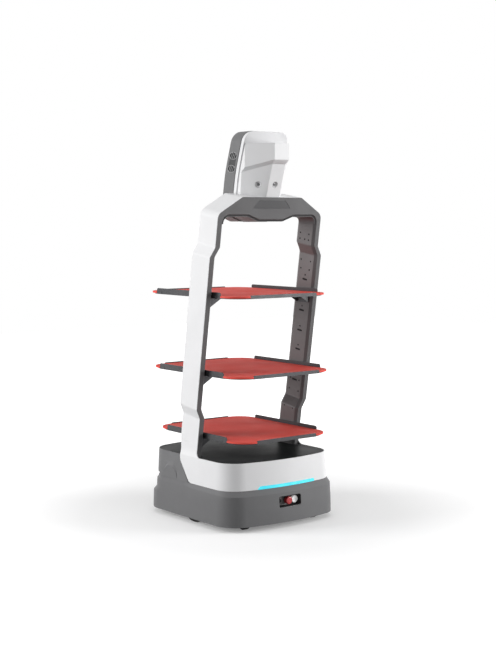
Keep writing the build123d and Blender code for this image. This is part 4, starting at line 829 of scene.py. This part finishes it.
rims, backings, slats = [], [], []
for side in (-1, 1):
    for y, z in grilles["centres"]:
        made = [
            stretched(turned(grilles["rim"], grilles["steps"], closed=True), grilles["oval"]),
            stretched(turned(grilles["backing"], grilles["steps"]), grilles["oval"]),
        ]
        for index in range(grilles["slatCount"]):
            made.append(slantedSlat((index - (grilles["slatCount"] - 1) / 2) * grilles["slatPitch"]))
        onFlank = Matrix((
            (0, 0, side, side * grilles["faceX"]),
            (1, 0, 0, y),
            (0, side, 0, z),
            (0, 0, 0, 1),
        ))
        for shape in made:
            bmesh.ops.transform(shape, matrix=onFlank, verts=shape.verts)
        rims.append(made[0])
        backings.append(made[1])
        slats.extend(made[2:])
grilleCount = len(rims)
finishPiece("grille_rims", joined(rims), "grilleGrey", "chassis")
finishPiece("grille_slats", joined(slats), "grilleGrey", "chassis")
darkBackings = finishPiece("grille_backings", joined(backings), "blackAndPaintedShade", "chassis")
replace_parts(darkBackings, "side_grilles")
print("grilles made:", grilleCount)


# Button-head screws with hexagon sockets, four in each tray's lips and four in its brackets

screws = {
    "profile": (
        (0, -0.1), (3.3, -0.1), (3.3, 0.3), (3.0, 0.9), (2.3, 1.4), (1.5, 1.6), (1.3, 1.5), (1.3, 0.5),
        (0, 0.4),
    ),
    "axle": 0.0005,                         # closer to the axis is the floor of the socket
    "socket": 0.0014,
    "steps": 24,
    "roll": 0.3,
    "fromLipEnd": 0.028,
    "lipBelowMat": 0.004,
    "bracketBelowMat": 0.030,
    "panelDepth": 0.018,                    # where a bracket begins, behind the front of the arch
    "alongBracket": (0.015, 0.047),
    "intoWall": 0.0025,
    "trays": {
        "top": {"lipX": 0.2150, "lipHalf": 0.1880, "y": 0.0181, "matTop": 0.7908, "wallX": 0.2189},
        "middle": {"lipX": 0.2150, "lipHalf": 0.1880, "y": 0.0018, "matTop": 0.5238, "wallX": 0.2189},
        "bottom": {"lipX": 0.2004, "lipHalf": 0.1758, "y": -0.0093, "matTop": 0.3040, "wallX": 0.2024},
    },
}


def screwHead(place, axis):
    # a turned head whose socket is drawn in to a hexagon
    bm = turned(screws["profile"], screws["steps"])
    for vert in bm.verts:
        radius = math.hypot(vert.co.x, vert.co.y)
        if screws["axle"] < radius < screws["socket"]:
            part = math.atan2(vert.co.y, vert.co.x) % (math.pi / 3) - math.pi / 6
            share = math.cos(math.pi / 6) / math.cos(part)
            vert.co.x *= share
            vert.co.y *= share
    return putAt(bm, place, axis, roll=screws["roll"])


heads = []
for tray in screws["trays"].values():
    lipZ = tray["matTop"] - screws["lipBelowMat"]
    bracketZ = tray["matTop"] - screws["bracketBelowMat"]
    wallY = robot["archFrontY"] + screws["panelDepth"] / math.cos(robot["lean"])
    wallY -= (tray["matTop"] - robot["rimZ"]) * math.tan(robot["lean"])
    for side in (-1, 1):
        for way in (-1, 1):
            y = tray["y"] + way * (tray["lipHalf"] - screws["fromLipEnd"])
            heads.append(screwHead((side * tray["lipX"], y, lipZ), (side, 0, 0)))
        for along in screws["alongBracket"]:
            place = (side * (tray["wallX"] - screws["intoWall"]), wallY + along, bracketZ)
            heads.append(screwHead(place, (-side, 0, 0)))
screwCount = len(heads)
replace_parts(finishPiece("screw_heads", joined(heads), "screwSteel", "chassis"), "tray_screws")
print("screws made:", screwCount)


# Suspension springs between the chassis and the drive arms

springs = {
    "x": 0.1620, "y": -0.0885, "low": 0.1056, "high": 0.2208,
    "radius": 0.0085, "wire": 0.0030, "turns": 7, "stepsPerTurn": 36, "sides": 12,
    "sharpAngle": 60.0,
}
for ending, side in (("left", -1), ("right", 1)):
    bm = bmesh.new()
    bmesh.ops.create_circle(bm, segments=springs["sides"], radius=springs["wire"] / 2)
    start = Matrix.Translation((springs["radius"], 0, 0)) @ Matrix.Rotation(math.pi / 2, 4, "X")
    bmesh.ops.transform(bm, matrix=start, verts=bm.verts)
    steps = springs["turns"] * springs["stepsPerTurn"]
    rise = (springs["high"] - springs["low"]) / steps
    bmesh.ops.spin(
        bm, geom=bm.verts[:] + bm.edges[:], cent=(0, 0, 0), axis=(0, 0, 1), dvec=(0, 0, rise),
        angle=math.tau * springs["turns"], steps=steps,
    )
    bmesh.ops.holes_fill(bm, edges=[e for e in bm.edges if e.is_boundary])
    bmesh.ops.translate(bm, vec=(side * springs["x"], springs["y"], springs["low"]), verts=bm.verts)
    spring = finishPiece("coil_" + ending, bm, "springSteel", None, springs["sharpAngle"])
    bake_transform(spring)
    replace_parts(spring, "spring_" + ending)
print("springs made")


# Drive tyres with grooves, and caster wheels with their hubs

runningGear = {                             # profiles in millimetres from the wheel's axis
    "driveX": 0.1760, "driveY": -0.0185, "driveZ": 0.0800,
    "tyreSteps": 96,
    "tyre": (
        (67.1, 0), (74.0, 0), (77.6, 0.7), (79.4, 2.6), (80, 5.5),
        (80, 12.2), (78.5, 12.8), (78.5, 14.2), (80, 14.8),
        (80, 20.6), (78.5, 21.2), (78.5, 22.8), (80, 23.4),
        (80, 29.2), (78.5, 29.8), (78.5, 31.2), (80, 31.8),
        (80, 38.5), (79.4, 41.4), (77.6, 43.3), (74.0, 44), (67.1, 44),
    ),
    "casterX": 0.1500, "casterYs": {"front": -0.2155, "rear": 0.1545}, "casterZ": 0.0250,
    "caster": (
        (4.1, -11.9), (7.6, -11.9), (8.0, -11.4), (8.4, -8.2), (16.2, -8.2), (16.8, -11.2), (17.4, -11.8),
        (21.8, -11.8), (23.8, -10.6), (24.8, -8.4), (25, -6.0), (25, 6.0), (24.8, 8.4), (23.8, 10.6),
        (21.8, 11.8), (17.4, 11.8), (16.8, 11.2), (16.2, 8.2), (8.4, 8.2), (8.0, 11.4), (7.6, 11.9),
        (4.1, 11.9),
    ),
}
for ending, side in (("left", -1), ("right", 1)):
    hub = (side * runningGear["driveX"], runningGear["driveY"], runningGear["driveZ"])
    tyre = putAt(turned(runningGear["tyre"], runningGear["tyreSteps"], closed=True), hub, (side, 0, 0))
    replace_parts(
        finishPiece("grooved_tyre_" + ending, tyre, "tyreBlack", "drive_wheel_" + ending),
        "tyre_" + ending,
    )
    for end, y in runningGear["casterYs"].items():
        place = (side * runningGear["casterX"], y, runningGear["casterZ"])
        wheel = putAt(turned(runningGear["caster"], closed=True), place, (1, 0, 0))
        spot = end + "_" + ending
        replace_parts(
            finishPiece("caster_tread_" + spot, wheel, "tyreBlack", "roller_" + spot),
            "caster_wheel_" + spot,
        )
print("wheels made")


# Stage: a pale floor and backdrop that the camera sees as white, with painted shade on the floor around the
# robot, and soft lamps

stage = {
    "floorSize": 14.0,
    "floorSquares": 4,
    "floorSeen": (0.84, 0.84, 0.845),       # what the camera sees of the floor
    "floorPaler": (0.85, 0.85, 0.85),
    "floorBounce": (0.18, 0.18, 0.18),      # what the floor throws back at the robot
    "floorRough": 0.95,
    # the camera sees less glow near the robot: painted shade on the floor there, on top of the real cast
    # shadow, fading out to white further away
    "shadedFloorGlow": 0.20,
    "shadeFadeStart": 0.55,                      # from here the paper runs out to pure white
    "shadeFadeEnd": 2.4,
    "skyLight": 0.42,
}


def seenByCamera(tree):
    # 1 for what the camera sees, also in metal and through glass
    path = tree.nodes.new("ShaderNodeLightPath")
    seen = calculate(tree, "MAXIMUM", path.outputs["Is Camera Ray"], path.outputs["Is Glossy Ray"])
    return calculate(tree, "MAXIMUM", seen, path.outputs["Is Transmission Ray"])


def stageMaterial():
    material, tree, shader = newMaterial("stagePaper")
    vector = coordinates(tree)
    tone = cloudShare(tree, vector, 3.0, 2.0, 0.5)
    paper = blendColour(tree, tone, stage["floorSeen"], stage["floorPaler"])
    seen = seenByCamera(tree)
    colour = blendColour(tree, seen, stage["floorBounce"], paper)
    tree.links.new(colour, shader.inputs["Base Color"])
    shader.inputs["Emission Color"].default_value = (1.0, 1.0, 1.0, 1.0)
    length = tree.nodes.new("ShaderNodeVectorMath")
    length.operation = "LENGTH"
    tree.links.new(vector, length.inputs[0])
    away = length.outputs["Value"]
    # lower glow near the robot paints shade on the floor there, fading out to pure white
    glow = spread(tree, away, stage["shadeFadeStart"], stage["shadeFadeEnd"], stage["shadedFloorGlow"], 1.0)
    tree.links.new(calculate(tree, "MULTIPLY", seen, glow), shader.inputs["Emission Strength"])
    shader.inputs["Roughness"].default_value = stage["floorRough"]
    shader.inputs["Specular IOR Level"].default_value = 0.0
    return material


floorMesh = bmesh.new()
bmesh.ops.create_grid(
    floorMesh, x_segments=stage["floorSquares"], y_segments=stage["floorSquares"], size=stage["floorSize"] / 2
)
mesh = bpy.data.meshes.new("floor")
floorMesh.to_mesh(mesh)
floorMesh.free()
floor = bpy.data.objects.new("floor", mesh)
bpy.context.scene.collection.objects.link(floor)
mesh.materials.append(stageMaterial())

world = bpy.data.worlds.new("studio")
bpy.context.scene.world = world
world.use_nodes = True
worldTree = world.node_tree
background = worldTree.nodes["Background"]
background.inputs["Color"].default_value = (1.0, 1.0, 1.0, 1.0)
strength = spread(worldTree, seenByCamera(worldTree), 0.0, 1.0, stage["skyLight"], 1.0)
worldTree.links.new(strength, background.inputs["Strength"])

lamps = {
    "frontRight": {"place": (3.1, -2.9, 1.1), "target": (0.0, 0.0, 0.4), "size": (2.2, 1.6), "power": 139.0},
    "leftBack": {"place": (-3.0, 1.5, 1.3), "target": (0.0, 0.0, 0.5), "size": (1.8, 1.8), "power": 93.0},
    "above": {"place": (-0.4, -0.8, 3.9), "target": (0.0, 0.0, 0.8), "size": (2.6, 2.6), "power": 14.0},
}
for name, lamp in lamps.items():
    lampData = bpy.data.lights.new(name, "AREA")
    lampData.shape = "RECTANGLE"
    lampData.size, lampData.size_y = lamp["size"]
    lampData.energy = lamp["power"]
    obj = bpy.data.objects.new(name, lampData)
    obj.location = lamp["place"]
    aim = Vector(lamp["target"]) - Vector(lamp["place"])
    obj.rotation_euler = aim.to_track_quat("-Z", "Y").to_euler()
    obj.visible_camera = False
    bpy.context.scene.collection.objects.link(obj)
bpy.context.scene.view_settings.view_transform = "Standard"
print("stage lit")
